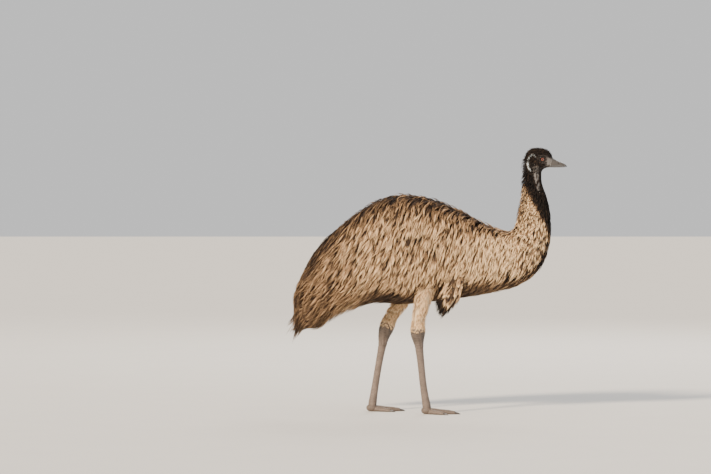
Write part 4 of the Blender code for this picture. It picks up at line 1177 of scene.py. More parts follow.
class EMU_OT_crown(Operator):
    """Grow the thick black bristles that stand on the crown and hang over the brow"""

    bl_idname = "emu.crown"
    bl_label = "Crown"

    def execute(self, context):
        spacing = context.scene.emu_coat.neck_spacing * 0.30
        for side in (RIGHT, LEFT):
            dice = np.random.default_rng(seed_of("crown", side))
            place, angle = even_roots(*CROWN, side, spacing, dice, (0.0, CROWN_SIDE))
            shorter = np.interp(place, (21.0, 23.0, CROWN[1]), (1.0, 0.80, 0.45))
            length = dice.uniform(0.012, 0.020, len(place)) * shorter
            length = length * (1.0 - 0.30 * np.abs(angle) / CROWN_SIDE)
            path, normal = bristle_paths(place, angle, length, dice, 5)
            dark = np.full(len(place), 0.01)
            coat = tufted("coat_crown_" + side_tag(side), path, normal, CROWN_PLUME, dice, dark,
                          np.ones(len(place)), uv_of(place, angle))
            finish_piece(coat, material("plumage"))
        return {"FINISHED"}


class EMU_OT_head_coat(Operator):
    """Grow the short black bristles of nape, cheek and jaw round the bare face"""

    bl_idname = "emu.head_coat"
    bl_label = "Head feathers"

    def execute(self, context):
        spacing = context.scene.emu_coat.neck_spacing * 0.36
        for side in (RIGHT, LEFT):
            grow_coat("coat_head_" + side_tag(side), HEAD_START, HEAD_COAT_END, side, spacing, HEAD_PLUME,
                      seed_of("head", side), "dark_plumage", lift=(0.3, 1.0), keep=off_bare_face,
                      tone=head_tone)
        return {"FINISHED"}


def thigh_paths(leg, side, place, angle, length, lift, turn, rows):
    """Short feathers that lie down the thigh from places and angles on its surface."""
    places = np.linspace(0.0, len(leg) - 1, 241)
    stations = np.array(leg, float)
    stations[:, 1] *= side
    fine = along_rows(stations, places)
    run = np.concatenate(([0.0], np.cumsum(np.linalg.norm(np.diff(fine[:, :3], axis=0), axis=1))))
    start = np.interp(place, places, run)
    points, normals = [], []
    for share in np.linspace(0.0, 1.0, rows):
        at = np.interp(start + length * share, run, places)
        row = along_rows(stations, at)
        way = unit(along_rows(stations, at + 0.05)[:, :3] - along_rows(stations, at - 0.05)[:, :3])
        ahead = unit(np.cross((0.0, 1.0, 0.0), way))
        across = np.cross(way, ahead)
        a = angle + turn * share
        high = np.interp(share, (0.0, 0.35, 1.0), (THIGH_SKIN - 0.06, 0.88, 1.0)) - (1.0 - lift) * share * 0.2
        high = high * (1.0 + 0.10 * smooth_step((at - 4.0) / 1.0))
        out = ahead * (np.cos(a) * row[:, 3])[:, None] + across * (np.sin(a) * row[:, 4])[:, None]
        points.append(row[:, :3] + out * high[:, None])
        normals.append(unit(out))
    return np.array(points), np.array(normals)


def ridge_paths(place, angle, length, rise, stray, rows):
    """Feathers that lie straight back along the ridge and cover its parting."""
    level = np.zeros(len(place))
    here, _, _, _ = surface_frame(place, angle, level)
    behind, _, _, _ = surface_frame(place - 0.4, angle, level)
    pace = 0.4 / np.linalg.norm(behind - here, axis=1)
    points, normals = [], []
    for share in np.linspace(0.0, 1.0, rows):
        moved = np.maximum(place - pace * length * share, 0.3)
        at, normal, _, _ = surface_frame(moved, angle + stray * share, rise * smooth_step(share * 1.6 + 0.1))
        points.append(at)
        normals.append(normal)
    return np.array(points), np.array(normals)


class EMU_OT_ridge(Operator):
    """Lay feathers straight back along the ridge, over the parting of the two sides"""

    bl_idname = "emu.ridge"
    bl_label = "Ridge"

    def execute(self, context):
        spacing = context.scene.emu_coat.body_spacing * 0.95
        for side in (RIGHT, LEFT):
            dice = np.random.default_rng(seed_of("ridge", side))
            place, angle = even_roots(*RIDGE_COAT, side, spacing, dice, (0.0, 0.22))
            count = len(place)
            length = dice.uniform(0.050, 0.085, count)
            path, normal = ridge_paths(place, angle, length, dice.uniform(0.30, 1.06, count),
                                       dice.normal(0.10 * side, 0.16, count), 6)
            coat = tufted("coat_ridge_" + side_tag(side), path, normal, BODY_PLUME, dice,
                          paleness(place, angle), np.full(count, 0.6), uv_of(place, angle))
            finish_piece(coat, material("plumage"))
        return {"FINISHED"}


class EMU_OT_thigh_coat(Operator):
    """Grow the short cream feathers that clothe both thighs down to the hocks"""

    bl_idname = "emu.thigh_coat"
    bl_label = "Thigh feathers"

    def execute(self, context):
        for name, side, leg in SIDES:
            dice = np.random.default_rng(seed_of("thigh", side))
            count = context.scene.emu_coat.thigh_feathers
            place = dice.uniform(0.15, SOCK_END + 0.06, count)
            low = dice.uniform(0.0, 1.0, count) < 0.30
            place = np.where(low, SOCK_END + dice.uniform(-0.60, 0.06, count), place)
            angle = dice.uniform(0.0, 2.0 * math.pi, count)
            length = dice.uniform(0.024, 0.040, count) * np.interp(place, (0.0, 4.0, 5.0), (1.3, 1.0, 0.85))
            lift = dice.uniform(0.3, 1.0, count)
            turn = dice.normal(0.0, 0.12, count)
            path, normal = thigh_paths(leg, side, place, angle, length, lift, turn, 6)
            tone = 0.93 + 0.03 * np.sin(angle * 3.0) - 0.06 * smooth_step((2.0 - place) / 1.5)
            uv_at = np.column_stack((0.02 + 0.05 * place, 0.02 + 0.96 * angle / (2.0 * math.pi)))
            fleck = np.full(count, 0.22)
            coat = tufted("coat_thigh_" + name, path, normal, THIGH_PLUME, dice, tone, fleck, uv_at)
            finish_piece(coat, material("plumage"))
        return {"FINISHED"}


# The tips of a wing's plumes in side view from rear to front, and its arm's half sizes down it
PLUME_TIPS = ((0.030, 0.588), (0.023, 0.548), (0.031, 0.511), (0.052, 0.474),
              (0.076, 0.491), (0.105, 0.515), (0.134, 0.543), (0.152, 0.572))
ARM_HALF = ((0.016, 0.011), (0.027, 0.014), (0.040, 0.016), (0.049, 0.015), (0.045, 0.011), (0.022, 0.006))
# The shares of those sizes that the bare arm has under its plumes
ARM_WIDE, ARM_THICK = 0.48, 0.7


def wing_out(z):
    """How far out from the middle of the body the wing hangs at a height."""
    share = (z - WING_ARM[-1][1]) / (WING_ARM[0][1] - WING_ARM[-1][1])
    return WING_SIDE[1] + (WING_SIDE[0] - WING_SIDE[1]) * share


def wing_paths(side, across, start, reach, layer, rows):
    """Plumes of the leaf: across runs 0 to 1 from its rear edge to its front edge."""
    tips = np.array(PLUME_TIPS)
    at = across * (len(tips) - 1)
    tip_x = np.interp(at, np.arange(len(tips)), tips[:, 0])
    tip_z = np.interp(at, np.arange(len(tips)), tips[:, 1])
    down = (0.30 + 0.45 * (1.0 - np.abs(2.0 * across - 1.0))) * start
    share = np.linspace(0.0, 1.0, len(WING_ARM))
    root_x = np.interp(down, share, [x for x, _ in WING_ARM])
    root_x = root_x + (2.0 * across - 1.0) * 0.85 * np.interp(down, share, [wide for wide, _ in ARM_HALF])
    root_z = np.interp(down, share, [z for _, z in WING_ARM])
    points, normals = [], []
    for s in np.linspace(0.0, 1.0, rows):
        x = root_x + (tip_x - root_x) * s * reach
        z = root_z + (tip_z - root_z) * s * reach
        bow = math.sin(s * math.pi) * 0.006
        y = wing_out(z) + bow + layer * (0.3 + 0.7 * math.sin(min(s + 0.25, 1.0) * math.pi))
        points.append(np.column_stack((x, side * y, z)))
        normals.append(np.tile((0.0, side, 0.0), (len(across), 1)))
    return np.array(points), np.array(normals)


class EMU_OT_wings(Operator):
    """Make both small hanging wings: a slender arm and a leaf of drooping plumes"""

    bl_idname = "emu.wings"
    bl_label = "Wings"

    def execute(self, context):
        for side in (RIGHT, LEFT):
            tag = side_tag(side)
            line = [(x, wing_out(z), z, wide * ARM_WIDE, thick * ARM_THICK)
                    for (x, z), (wide, thick) in zip(WING_ARM, ARM_HALF)]
            _, _, rings = line_rings(line, side, 40, 24)
            points, faces = capped_tube(rings)
            size = len(points)
            values = {"tone": np.full(size, 0.95), "face": np.zeros(size), "bare": np.zeros(size)}
            arm = triangles_object("wing_arm_" + tag, points + SHIFT, faces, values)
            finish_piece(arm, material("hide"), ("wing_" + tag,))
            dice = np.random.default_rng(seed_of("wing", side))
            count = context.scene.emu_coat.wing_feathers
            across = dice.uniform(0.0, 1.0, count)
            start = dice.uniform(0.15, 1.0, count)
            reach = np.where(dice.uniform(0, 1, count) < 0.60, dice.uniform(0.93, 1.03, count),
                             dice.uniform(0.35, 0.74, count))
            layer = np.where(reach > 0.9, dice.uniform(-0.011, 0.001, count), dice.uniform(0.0, 0.012, count))
            path, normal = wing_paths(side, across, start, reach, layer, 7)
            ahead = smooth_step(across * 1.8 - 0.5)
            long_tone = 0.05 + 0.62 * smooth_step(across * 2.4 - 1.35)
            long_tone = long_tone + 0.5 * smooth_step(1.3 - across / 0.12)
            tone = np.where(reach > 0.9, long_tone, 0.66 + 0.30 * ahead) + dice.normal(0.0, 0.08, count)
            uv_at = np.column_stack((0.30 + 0.10 * across, 0.5 + side * (0.2 + 0.1 * start)))
            fleck = 1.5 - 0.6 * across
            coat = tufted("coat_wing_" + tag, path, normal, WING_PLUME, dice, tone, fleck, uv_at)
            finish_piece(coat, material("plumage"))
        return {"FINISHED"}


# Each half of the bill: the share of its length, and its top, bottom and half width there
UPPER_BILL = (
    (0.0, 1.2990, 1.2602, 0.0205),
    (0.25, 1.2905, 1.2607, 0.0188),
    (0.50, 1.2832, 1.2610, 0.0162),
    (0.72, 1.2762, 1.2604, 0.0132),
    (0.88, 1.2698, 1.2586, 0.0096),
    (0.97, 1.2632, 1.2562, 0.0056),
    (1.0, 1.2595, 1.2556, 0.0022),
)
LOWER_BILL = (
    (0.0, 1.2592, 1.2530, 0.0192),
    (0.30, 1.2597, 1.2524, 0.0172),
    (0.60, 1.2600, 1.2528, 0.0142),
    (0.82, 1.2588, 1.2536, 0.0100),
    (0.92, 1.2568, 1.2544, 0.0060),
)
NOSTRIL = (0.6620, 1.2738)


def bill_relief(x, z, arched_up):
    """The bill's own forms: nostril and its groove, and a swelling along the top."""
    if not arched_up:
        return np.zeros(np.shape(x))
    nostril = oval(x, z, NOSTRIL, 0.0098, 0.0026)
    relief = -0.0042 * hump(nostril, 0.85) + 0.0006 * hump(nostril - 1.5, 0.4)
    groove = distance_to_line(x, z, ((0.640, 1.2800), (0.662, 1.2738), (0.688, 1.2664)))
    return relief - 0.0007 * hump(groove, 0.0020) + 0.0005 * hump(groove - 0.0052, 0.0022)


def bill_mesh(name, table, arched_up):
    """Half of the bill as fine rings, let 4 mm into the face."""
    rows = np.array(table)
    count, points = 90, 72
    shares = np.linspace(-0.05, rows[-1, 0], count)
    shares[1:] = np.linspace(0.0, rows[-1, 0], count - 1)
    angles = round_angles(points)
    (top_x, top_z), (low_x, low_z) = BILL_ROOT_TOP, BILL_ROOT_LOW
    rings, tones = [], []
    for share in shares:
        at = max(share, 0.0)
        top, bottom, half = (np.interp(at, rows[:, 0], rows[:, k]) for k in (1, 2, 3))
        arch = np.maximum(np.cos(angles), 0.0) ** 0.75
        z = bottom + (top - bottom) * arch if arched_up else top - (top - bottom) * arch
        x = top_x + 0.0004 + (BILL_TIP - top_x) * share
        x = x + (1.0 - share) * (top_x - low_x) * (z - top_z) / (top_z - low_z)
        y = half * np.sin(angles)
        relief = bill_relief(x, z, arched_up) * np.abs(np.sin(angles)) ** 0.5
        rings.append(np.column_stack((x, y + np.sign(y) * relief, z)))
        near = distance_to_line(x, z, ((0.62, 1.2604), (0.70, 1.2580)))
        tip = smooth_step((at - 0.72) / 0.3)
        culmen = smooth_step((z - bottom) / max(top - bottom, 1e-4) * 4.0 - 2.6)
        tones.append(0.40 + 0.44 * tip + 0.20 * hump(near, 0.0016) + (0.34 * culmen if arched_up else 0.0))
    points_all, faces = capped_tube(np.array(rings))
    tones = np.concatenate((np.concatenate(tones), (0.36, 0.80)))
    # The nostril is painted the darkest horn: painted shade in its hollow.
    if arched_up:
        hole = hump(oval(points_all[:, 0], points_all[:, 2], NOSTRIL, 0.0098, 0.0026), 0.9)
        tones = np.maximum(tones, 1.05 * hole)
    made = triangles_object(name, points_all + SHIFT, faces, {"tone": tones})
    finish_piece(made, material("bill"), ("bill_upper" if arched_up else "bill_lower",))


class EMU_OT_bill(Operator):
    """Make both halves of the broad soft-edged bill, with nostrils and a dark tip"""

    bl_idname = "emu.bill"
    bl_label = "Bill"

    def execute(self, context):
        bill_mesh("upper_bill", UPPER_BILL, True)
        bill_mesh("lower_bill", LOWER_BILL, False)
        return {"FINISHED"}


def skin_depth(x, z):
    """How far out from the middle of the head the bare skin lies, at places in side view."""
    places = np.linspace(19.5, 23.9, 130)
    angles = np.linspace(0.15, 2.95, 110)
    p, a = (g.ravel() for g in np.meshgrid(places, angles))
    at = spine_point(p, a, np.zeros(len(p)))
    tree = KDTree(len(at))
    for k, point in enumerate(at):
        tree.insert((point[0], point[2], 0.0), k)
    tree.balance()
    found = []
    for px, pz in zip(np.ravel(x), np.ravel(z)):
        near = tree.find_n((px, pz, 0.0), 4)
        weights = np.array([1.0 / (distance + 1e-5) for _, _, distance in near])
        found.append(sum(w * at[k, 1] for w, (_, k, _) in zip(weights, near)) / weights.sum())
    return np.array(found).reshape(np.shape(x))


# The lids' inner and outer edge as half lengths and half heights, and how far the eye's rim reaches
LID_INNER, LID_OUTER = (0.0088, 0.0074), (0.0205, 0.0165)
IRIS_REACH = 0.0092


class EMU_OT_eyes(Operator):
    """Make the eyes and the folded lids round them"""

    bl_idname = "emu.eyes"
    bl_label = "Eyes and lids"

    def execute(self, context):
        for tag, side in (("r", RIGHT), ("l", LEFT)):
            low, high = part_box("eye_" + tag)
            centre = np.array([(a + b) / 2 for a, b in zip(low, high)])
            self.ball(tag, side, centre)
            self.lids(tag, side, centre - SHIFT)
        return {"FINISHED"}

    def ball(self, tag, side, centre):
        """The eyeball, with its pupil facing out; tone is the distance from the pupil."""
        turns = np.linspace(0.0, math.pi, 60)[1:-1]
        angles = round_angles(64)
        rings = []
        for turn in turns:
            wide = math.sin(turn)
            swell = 1.0 + 0.028 * hump(turn / 0.55, 1.0)
            ring = np.column_stack((np.cos(angles) * wide, np.full(64, side * math.cos(turn)),
                                    np.sin(angles) * wide))
            rings.append(centre + ring * EYE_RADIUS * swell)
        points, faces = capped_tube(np.array(rings))
        tone = np.hypot(points[:, 0] - centre[0], points[:, 2] - centre[2]) / IRIS_REACH
        tone = np.where((points[:, 1] - centre[1]) * side > 0, tone, 1.0)
        made = triangles_object("eyeball_" + tag, points, faces, {"tone": np.clip(tone, 0.0, 1.0)})
        finish_piece(made, material("eye"), ("eye_" + tag,))

    def lids(self, tag, side, centre):
        """A rolled rim on the eyeball that runs out into the skin in shallow folds."""
        angles = round_angles(96)
        shares = np.linspace(0.0, 1.0, 26)
        rings = []
        for share in shares:
            rx, rz = (a + (b - a) * share for a, b in zip(LID_INNER, LID_OUTER))
            point = 1.0 + 0.10 * np.maximum(np.cos(angles), 0.0) ** 4 * (1.0 - share)
            x = EYE[0] + rx * point * np.cos(angles)
            z = EYE[1] + rz * np.sin(angles)
            flat = np.hypot(x - centre[0], z - centre[2])
            on_ball = abs(centre[1]) + np.sqrt(np.maximum(EYE_RADIUS**2 - flat**2, 0.0))
            on_skin = skin_depth(x, z) - 0.0022 * smooth_step((share - 0.70) / 0.3)
            rim = 0.0011 * smooth_step(share / 0.10) - 0.0008 * (share < 0.01)
            blend = smooth_step((share - 0.10) / 0.55)
            fold = 0.00045 * np.sin(share * 15.0 + 0.6 * np.cos(angles)) * smooth_step(share / 0.2)
            depth = (on_ball + rim) * (1.0 - blend) + (on_skin + 0.0006) * blend + fold
            rings.append(np.column_stack((x, side * depth, z)))
        back = [ring - np.array((0.0, side * 0.003, 0.0)) for ring in rings[::-1]]
        rings = np.array(rings + back)
        points, faces = closed_band(rings)
        dark = np.concatenate([np.full(96, s) for s in np.concatenate((shares, shares[::-1]))])
        bare = np.interp(dark, (0.0, 0.25, 0.45, 0.8, 1.0), (0.02, 0.06, 0.30, 0.42, 0.36))
        values = {"bare": bare, "face": np.ones(len(points)), "tone": np.zeros(len(points))}
        made = triangles_object("lids_" + tag, points + SHIFT, faces, values)
        finish_piece(made, material("hide"))


def closed_band(rings):
    """Points and faces of a ring-shaped band whose last ring joins its first."""
    rows, columns, _ = rings.shape
    r, c = np.meshgrid(np.arange(rows), np.arange(columns), indexing="ij")
    a = (r * columns + c).ravel()
    b = (r * columns + (c + 1) % columns).ravel()
    up_a = (((r + 1) % rows) * columns + c).ravel()
    up_b = (((r + 1) % rows) * columns + (c + 1) % columns).ravel()
    points = rings.reshape(-1, 3)
    faces = np.concatenate((np.stack((a, b, up_b), 1), np.stack((a, up_b, up_a), 1)))
    return points, facing_out(points, faces)


# How many plates cover the front of the shank
SHANK_PLATES = 21


def hock_relief(place, angles):
    """Upright folds round the hock, crossed by fine ridges, and its top tucked in under the feathers."""
    folds = 0.00085 * np.sin(angles * 9.0 + place * 2.2) * smooth_step((place - 5.3) / 0.6)
    across = 0.0007 * np.sin(place * 17.0 + 1.2 * np.cos(angles * 2.0))
    tucked = 0.0075 * smooth_step((SOCK_END + 0.12 - place) / 0.42)
    return (folds + across) * within(place, 5.2, 8.1, 0.5) - tucked


def plate_height(run, rise, fall):
    """0 in the seams between plates and 1 on them, along a run that is counted in plates."""
    step = np.mod(run, 1.0)
    return np.minimum(smooth_step(step / rise), smooth_step((1.0 - step) / fall))


def shank_run(place):
    """How many plates lie between the hock and a place on the shank."""
    return (place - HOCK_END) / (SHANK_END - HOCK_END) * SHANK_PLATES


def shank_relief(place, angles):
    """Broad plates across the front of the shank, and smaller ones behind."""
    run = shank_run(place)
    plate = 0.0011 * plate_height(run, 0.25, 0.12) - 0.0005
    front = smooth_step((np.cos(angles) - 0.15) / 0.35)
    small = 0.0006 * plate_height(run * 1.6 + 0.4, 0.25, 0.2) - 0.0003
    rear = smooth_step((-np.cos(angles) - 0.25) / 0.35)
    near_end = np.clip((place - 12.72) / 0.28, 0.0, 1.0)
    rounded = 0.011 * (1.0 - np.sqrt(1.0 - near_end**2))
    return plate * front + small * rear - rounded


def limb_mesh(name, leg, side, first, last, count, points, shape, tone_of, nodes):
    places, angles, rings = line_rings(leg, side, count, points, shape, first, last)
    made_points, faces = capped_tube(rings)
    p = np.concatenate((np.repeat(places, points), (first, last)))
    a = np.concatenate((np.tile(angles, count), (0.0, 0.0)))
    made = triangles_object(name, made_points + SHIFT, faces, {"tone": tone_of(p, a)})
    finish_piece(made, material("scales"), nodes)


def hock_tone(place, angle):
    tone = 0.40 - 0.16 * within(place, 5.3, 7.2, 1.0)
    return tone + 0.12 * smooth_step((5.4 - place) / 0.4)


def shank_tone(place, angle):
    seam = 1.0 - plate_height(shank_run(place), 0.16, 0.10)
    front = smooth_step((np.cos(angle) - 0.15) / 0.35)
    return 0.56 - 0.30 * seam * front - 0.10 * smooth_step((place - 11.5) / 1.5)


class EMU_OT_shanks(Operator):
    """Make the hocks and the long plated shanks below them"""

    bl_idname = "emu.shanks"
    bl_label = "Hocks and shanks"

    def execute(self, context):
        for tag, side, leg in SIDES:
            limb_mesh("scaled_hock_" + tag, leg, side, SOCK_END - 0.35, HOCK_END + 0.02, 110, 96,
                      hock_relief, hock_tone, ("hock_" + tag,))
            limb_mesh("shank_" + tag, leg, side, HOCK_END, SHANK_END, 300, 56,
                      shank_relief, shank_tone, ("tarsus_" + tag,))
        return {"FINISHED"}


# Toes and claws: the share of the length, and the shares of the full width and height there
TOE_PROFILE = np.array((
    (0.0, 0.62, 0.66), (0.16, 1.0, 1.0), (0.45, 0.90, 0.84), (0.75, 0.84, 0.72), (1.0, 0.58, 0.52)))
CLAW_PROFILE = np.array(((0.0, 0.50, 0.48), (0.35, 0.46, 0.42), (0.70, 0.32, 0.28), (1.0, 0.08, 0.08)))


def toe_points(length, half_width, height, plates):
    """Rings of one toe along X, with plates over its top and soft pads below."""
    count, points = 110, 40
    shares = np.linspace(-0.06, 1.0, count)
    angles = round_angles(points)
    rings, tones = [], []
    for share in shares:
        at = max(share, 0.0)
        row = along_rows(TOE_PROFILE, np.interp(at, TOE_PROFILE[:, 0], np.arange(5)))[0]
        wide, high = half_width * row[1], height * row[2]
        plate = plate_height((at - 0.06) * plates / 0.94, 0.22, 0.12)
        top = smooth_step((np.cos(angles) + 0.1) / 0.4)
        pads = 0.5 - 0.5 * math.cos(at * 2.0 * math.pi * 3.0)
        low = smooth_step((-np.cos(angles) + 0.1) / 0.3)
        z = high * (0.44 + 0.61 * np.cos(angles)) + 0.0013 * plate * top
        y = (wide + 0.0012 * pads * low) * np.sin(angles)
        z = np.maximum(z, 0.0012 * (1.0 - pads) * low)
        rings.append(np.column_stack((np.full(points, TOE_START + share * length), y, z)))
        tones.append(0.50 - 0.26 * (1.0 - plate) * top - 0.14 * low)
    return np.array(rings), np.concatenate(tones)


def claw_points(length, half_width, height, base):
    count, points = 36, 28
    shares = np.linspace(0.0, 1.0, count)
    angles = round_angles(points)
    rings, tones = [], []
    for share in shares:
        row = along_rows(CLAW_PROFILE, np.interp(share, CLAW_PROFILE[:, 0], np.arange(4)))[0]
        z = 0.0003 + height * row[2] * (0.5 + 0.5 * np.cos(angles))
        y = half_width * row[1] * np.sin(angles) * (1.0 - 0.15 * np.cos(angles))
        rings.append(np.column_stack((np.full(points, base + share * length), y, z)))
        tones.append(np.full(points, 0.25 + 0.6 * share))
    return np.array(rings), np.concatenate(tones)


# The heel's pad: half its height, length and width, and its place along the foot
HEEL_HIGH = 0.0185
HEEL_LONG = 0.0295
HEEL_WIDE = 0.0250
HEEL_AT = -0.0010


def heel_points():
    """Rings of the round pad under the ankle, from its top down to the floor."""
    points = 44
    angles = round_angles(points)
    rings = []
    for turn in np.linspace(0.08, math.pi - 0.08, 30):
        z = np.maximum(HEEL_HIGH * (1.0 + math.cos(turn)), 0.0008)
        wide = math.sin(turn) ** 0.7 * (1.0 + 0.012 * np.sin(angles * 11.0))
        rings.append(np.column_stack((HEEL_AT + HEEL_LONG * wide * np.cos(angles),
                                      HEEL_WIDE * wide * np.sin(angles), np.full(points, z))))
    return np.array(rings)


def set_on_foot(points, leg, side, splay):
    turn = math.radians((FOOT_TURN - splay) * side)
    c, s = math.cos(turn), math.sin(turn)
    x, y = leg[-1][0], side * leg[-1][1]
    return points @ np.array(((c, s, 0.0), (-s, c, 0.0), (0.0, 0.0, 1.0))) + (x, y, 0.0)


class EMU_OT_feet(Operator):
    """Make the three plated toes of each foot, with their pads and claws"""

    bl_idname = "emu.feet"
    bl_label = "Toes and claws"

    def execute(self, context):
        for tag, side, leg in SIDES:
            points, faces = capped_tube(heel_points())
            points = set_on_foot(points, leg, side, 0.0) + SHIFT
            heel = triangles_object("heel_" + tag, points, faces, {"tone": np.full(len(points), 0.42)})
            finish_piece(heel, material("scales"))
            for name, splay, length, half_width, height, plates in TOES:
                rings, tones = toe_points(length, half_width, height, plates)
                points, faces = capped_tube(rings)
                points = set_on_foot(points, leg, side, splay) + SHIFT
                tones = np.concatenate((tones, (0.4, 0.4)))
                toe = triangles_object(f"toe_{name}_{tag}_scaled", points, faces, {"tone": tones})
                finish_piece(toe, material("scales"), (f"toe_{name}_{tag}",))
                rings, tones = claw_points(CLAW_LENGTH, half_width, height, TOE_START + length - 0.002)
                points, faces = capped_tube(rings)
                points = set_on_foot(points, leg, side, splay) + SHIFT
                tones = np.concatenate((tones, (0.25, 0.85)))
                claw = triangles_object(f"claw_{name}_{tag}_horn", points, faces, {"tone": tones})
                finish_piece(claw, material("claw"), (f"claw_{name}_{tag}",))
        return {"FINISHED"}


# The camera's lens in millimetres, its place, and the place it looks at
CAMERA_LENS = 198.6
CAMERA_PLACE = (-0.374, -20.0, 1.50)
CAMERA_AIM = (-0.374, 0.0, 0.898)


# The middle of the bird, which the lamps point at, and the sun's direction and colour
LAMP_AIM = (0.0, 0.0, 0.75)
SUN_WAY = (0.62, 0.70, -0.50)
SUN_COLOUR = (1.0, 0.84, 0.64)
ROOM_COLOUR = (0.88, 0.88, 0.88, 1.0)


def add_lamp(name, kind, energy, colour, way):
    """A lamp of the studio that shines along a way."""
    data = bpy.data.lights.new(name, kind)
    data.energy, data.color = energy, colour
    lamp = bpy.data.objects.new(name + "_light", data)
    bpy.context.scene.collection.objects.link(lamp)
    lamp.rotation_euler = way.to_track_quat("-Z", "Y").to_euler()
    return lamp


class EMU_OT_stage(Operator):
    """Set the pale floor, the soft studio lights and the camera at the side of the bird"""

    bl_idname = "emu.stage"
    bl_label = "Stage"

    def execute(self, context):
        stage = context.scene.emu_stage
        bpy.ops.mesh.primitive_plane_add(size=60.0, location=(0.0, 0.0, 0.0))
        floor = context.object
        floor.name = "studio_floor"
        make = Shader("studio floor")
        shade = make.ramp(make.noise(3.0, 6.0), ((0.0, shaded(stage.floor_colour, 0.95)),
                                                 (1.0, stage.floor_colour[:3])))
        make.bump(make.noise(180.0, 3.0), 0.0008, 0.15)
        floor.data.materials.append(make.finish(shade, 0.85, Specular_IOR_Level=0.2))
        for name, place, size, power, colour in (
            ("fill", (6.0, -6.5, 2.6), 4.0, stage.fill_power, (0.90, 0.95, 1.0)),
            ("back", (1.5, 6.5, 5.0), 3.5, stage.fill_power * 1.6, (1.0, 0.97, 0.94)),
        ):
            lamp = add_lamp(name, "AREA", power, colour, Vector(LAMP_AIM) - Vector(place))
            lamp.data.shape, lamp.data.size = "DISK", size
            lamp.location = place
        lamp = add_lamp("key", "SUN", stage.key_strength, SUN_COLOUR, Vector(SUN_WAY))
        lamp.data.angle = math.radians(9.0)
        world = bpy.data.worlds.new("studio")
        context.scene.world = world
        world.use_nodes = True
        backdrop = world.node_tree.nodes["Background"]
        backdrop.inputs["Color"].default_value = ROOM_COLOUR
        backdrop.inputs["Strength"].default_value = stage.world_strength
        data = bpy.data.cameras.new("camera")
        data.lens = CAMERA_LENS
        data.sensor_width = 36.0
        data.clip_end = 120.0
        camera = bpy.data.objects.new("camera", data)
        context.scene.collection.objects.link(camera)
        place = Vector(CAMERA_PLACE) + Vector(SHIFT)
        aim = Vector(CAMERA_AIM) + Vector(SHIFT)
        camera.location = place
        camera.rotation_euler = (aim - place).to_track_quat("-Z", "Y").to_euler()
        context.scene.camera = camera
        return {"FINISHED"}


class EmuCoatSettings(PropertyGroup):
    """Sizes and colours of the feathers"""

    body_spacing: FloatProperty(
        name="Body feather spacing", description="Distance between the feathers of back and flanks",
        default=0.0140, min=0.008, max=0.08, subtype="DISTANCE", unit="LENGTH")
    neck_spacing: FloatProperty(
        name="Neck feather spacing", description="Distance between the feathers of breast and neck",
        default=0.0100, min=0.005, max=0.05, subtype="DISTANCE", unit="LENGTH")
    thigh_feathers: IntProperty(
        name="Thigh feathers", description="Number of short feathers on each thigh",
        default=720, min=100, max=4000)
    wing_feathers: IntProperty(
        name="Wing feathers", description="Number of plumes in each wing", default=330, min=40, max=900)
    dark_colour: FloatVectorProperty(
        name="Dark brown", description="The dark parts of each feather",
        default=(0.070, 0.041, 0.028), subtype="COLOR", size=3, min=0.0, max=1.0)
    buff_colour: FloatVectorProperty(
        name="Buff", description="The pale middle of each feather",
        default=(0.58, 0.355, 0.190), subtype="COLOR", size=3, min=0.0, max=1.0)
    cream_colour: FloatVectorProperty(
        name="Cream", description="The palest feathers of neck, thigh and wing",
        default=(0.97, 0.70, 0.41), subtype="COLOR", size=3, min=0.0, max=1.0)


class EmuSkinSettings(PropertyGroup):
    """Colours of the bare skin, eyes, bill and legs"""

    face_colour: FloatVectorProperty(
        name="Face", description="Bare skin between the eye and the bill",
        default=(0.135, 0.118, 0.108), subtype="COLOR", size=3, min=0.0, max=1.0)
    ear_colour: FloatVectorProperty(
        name="Ear patch", description="The whitish skin that curves round the ear",
        default=(0.50, 0.57, 0.62), subtype="COLOR", size=3, min=0.0, max=1.0)
    eye_colour: FloatVectorProperty(
        name="Iris", description="Iris of the eye",
        default=(0.20, 0.034, 0.008), subtype="COLOR", size=3, min=0.0, max=1.0)
    bill_colour: FloatVectorProperty(
        name="Bill", description="Horn of the bill",
        default=(0.048, 0.041, 0.036), subtype="COLOR", size=3, min=0.0, max=1.0)
    leg_colour: FloatVectorProperty(
        name="Legs", description="Scales of hocks, shanks and toes",
        default=(0.190, 0.140, 0.112), subtype="COLOR", size=3, min=0.0, max=1.0)


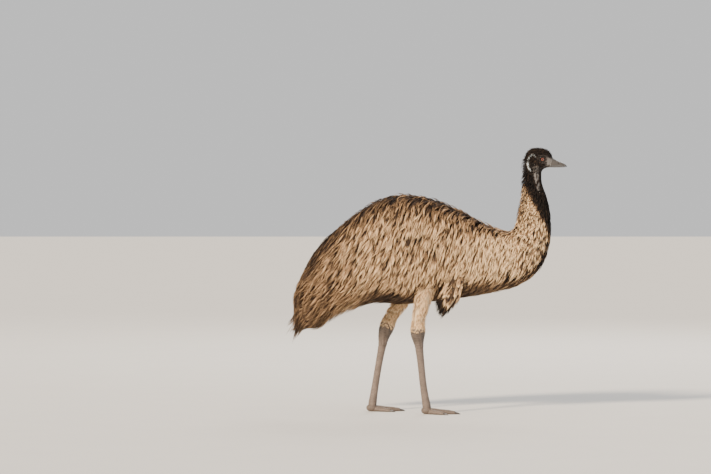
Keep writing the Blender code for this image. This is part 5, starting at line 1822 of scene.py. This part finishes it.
class EmuStageSettings(PropertyGroup):
    """Floor and lights of the studio"""

    floor_colour: FloatVectorProperty(
        name="Floor", description="Colour of the studio floor",
        default=(0.74, 0.72, 0.69), subtype="COLOR", size=3, min=0.0, max=1.0)
    key_strength: FloatProperty(
        name="Key light", description="Strength of the main soft light", default=7.2, min=0.0, max=20.0)
    fill_power: FloatProperty(
        name="Fill light", description="Power of the soft lights opposite and behind", default=160.0,
        min=0.0, subtype="POWER", unit="POWER")
    world_strength: FloatProperty(
        name="Room light", description="Strength of the even light of the room",
        default=0.85, min=0.0, max=5.0)


MAKING = (
    EMU_OT_skin,
    EMU_OT_eyes,
    EMU_OT_bill,
    EMU_OT_shanks,
    EMU_OT_feet,
    EMU_OT_wings,
    EMU_OT_thigh_coat,
    EMU_OT_body_coat,
    EMU_OT_tail_coat,
    EMU_OT_ridge,
    EMU_OT_neck_coat,
    EMU_OT_head_coat,
    EMU_OT_crown,
    EMU_OT_stage,
)


class EMU_PT_panel(Panel):
    """The settings and the making of the emu, in the 3D view's sidebar"""

    bl_idname = "EMU_PT_panel"
    bl_label = "Standing Emu"
    bl_space_type = "VIEW_3D"
    bl_region_type = "UI"
    bl_category = "Emu"

    def draw(self, context):
        scene = context.scene
        for title, settings in (("Feathers", scene.emu_coat), ("Skin and horn", scene.emu_skin),
                                ("Stage", scene.emu_stage)):
            box = self.layout.box()
            box.label(text=title)
            for name in settings.__annotations__:
                box.prop(settings, name)
        for step in MAKING:
            self.layout.operator(step.bl_idname)


SETTINGS = (("emu_coat", EmuCoatSettings), ("emu_skin", EmuSkinSettings), ("emu_stage", EmuStageSettings))


def register():
    for name, group in SETTINGS:
        bpy.utils.register_class(group)
        setattr(bpy.types.Scene, name, PointerProperty(type=group))
    for made in (*MAKING, EMU_PT_panel):
        bpy.utils.register_class(made)


def unregister():
    for made in reversed((*MAKING, EMU_PT_panel)):
        bpy.utils.unregister_class(made)
    for name, group in reversed(SETTINGS):
        delattr(bpy.types.Scene, name)
        bpy.utils.unregister_class(group)


def main():
    register()
    for step in MAKING:
        family, name = step.bl_idname.split(".")
        getattr(getattr(bpy.ops, family), name)()


if __name__ == "__main__":
    main()
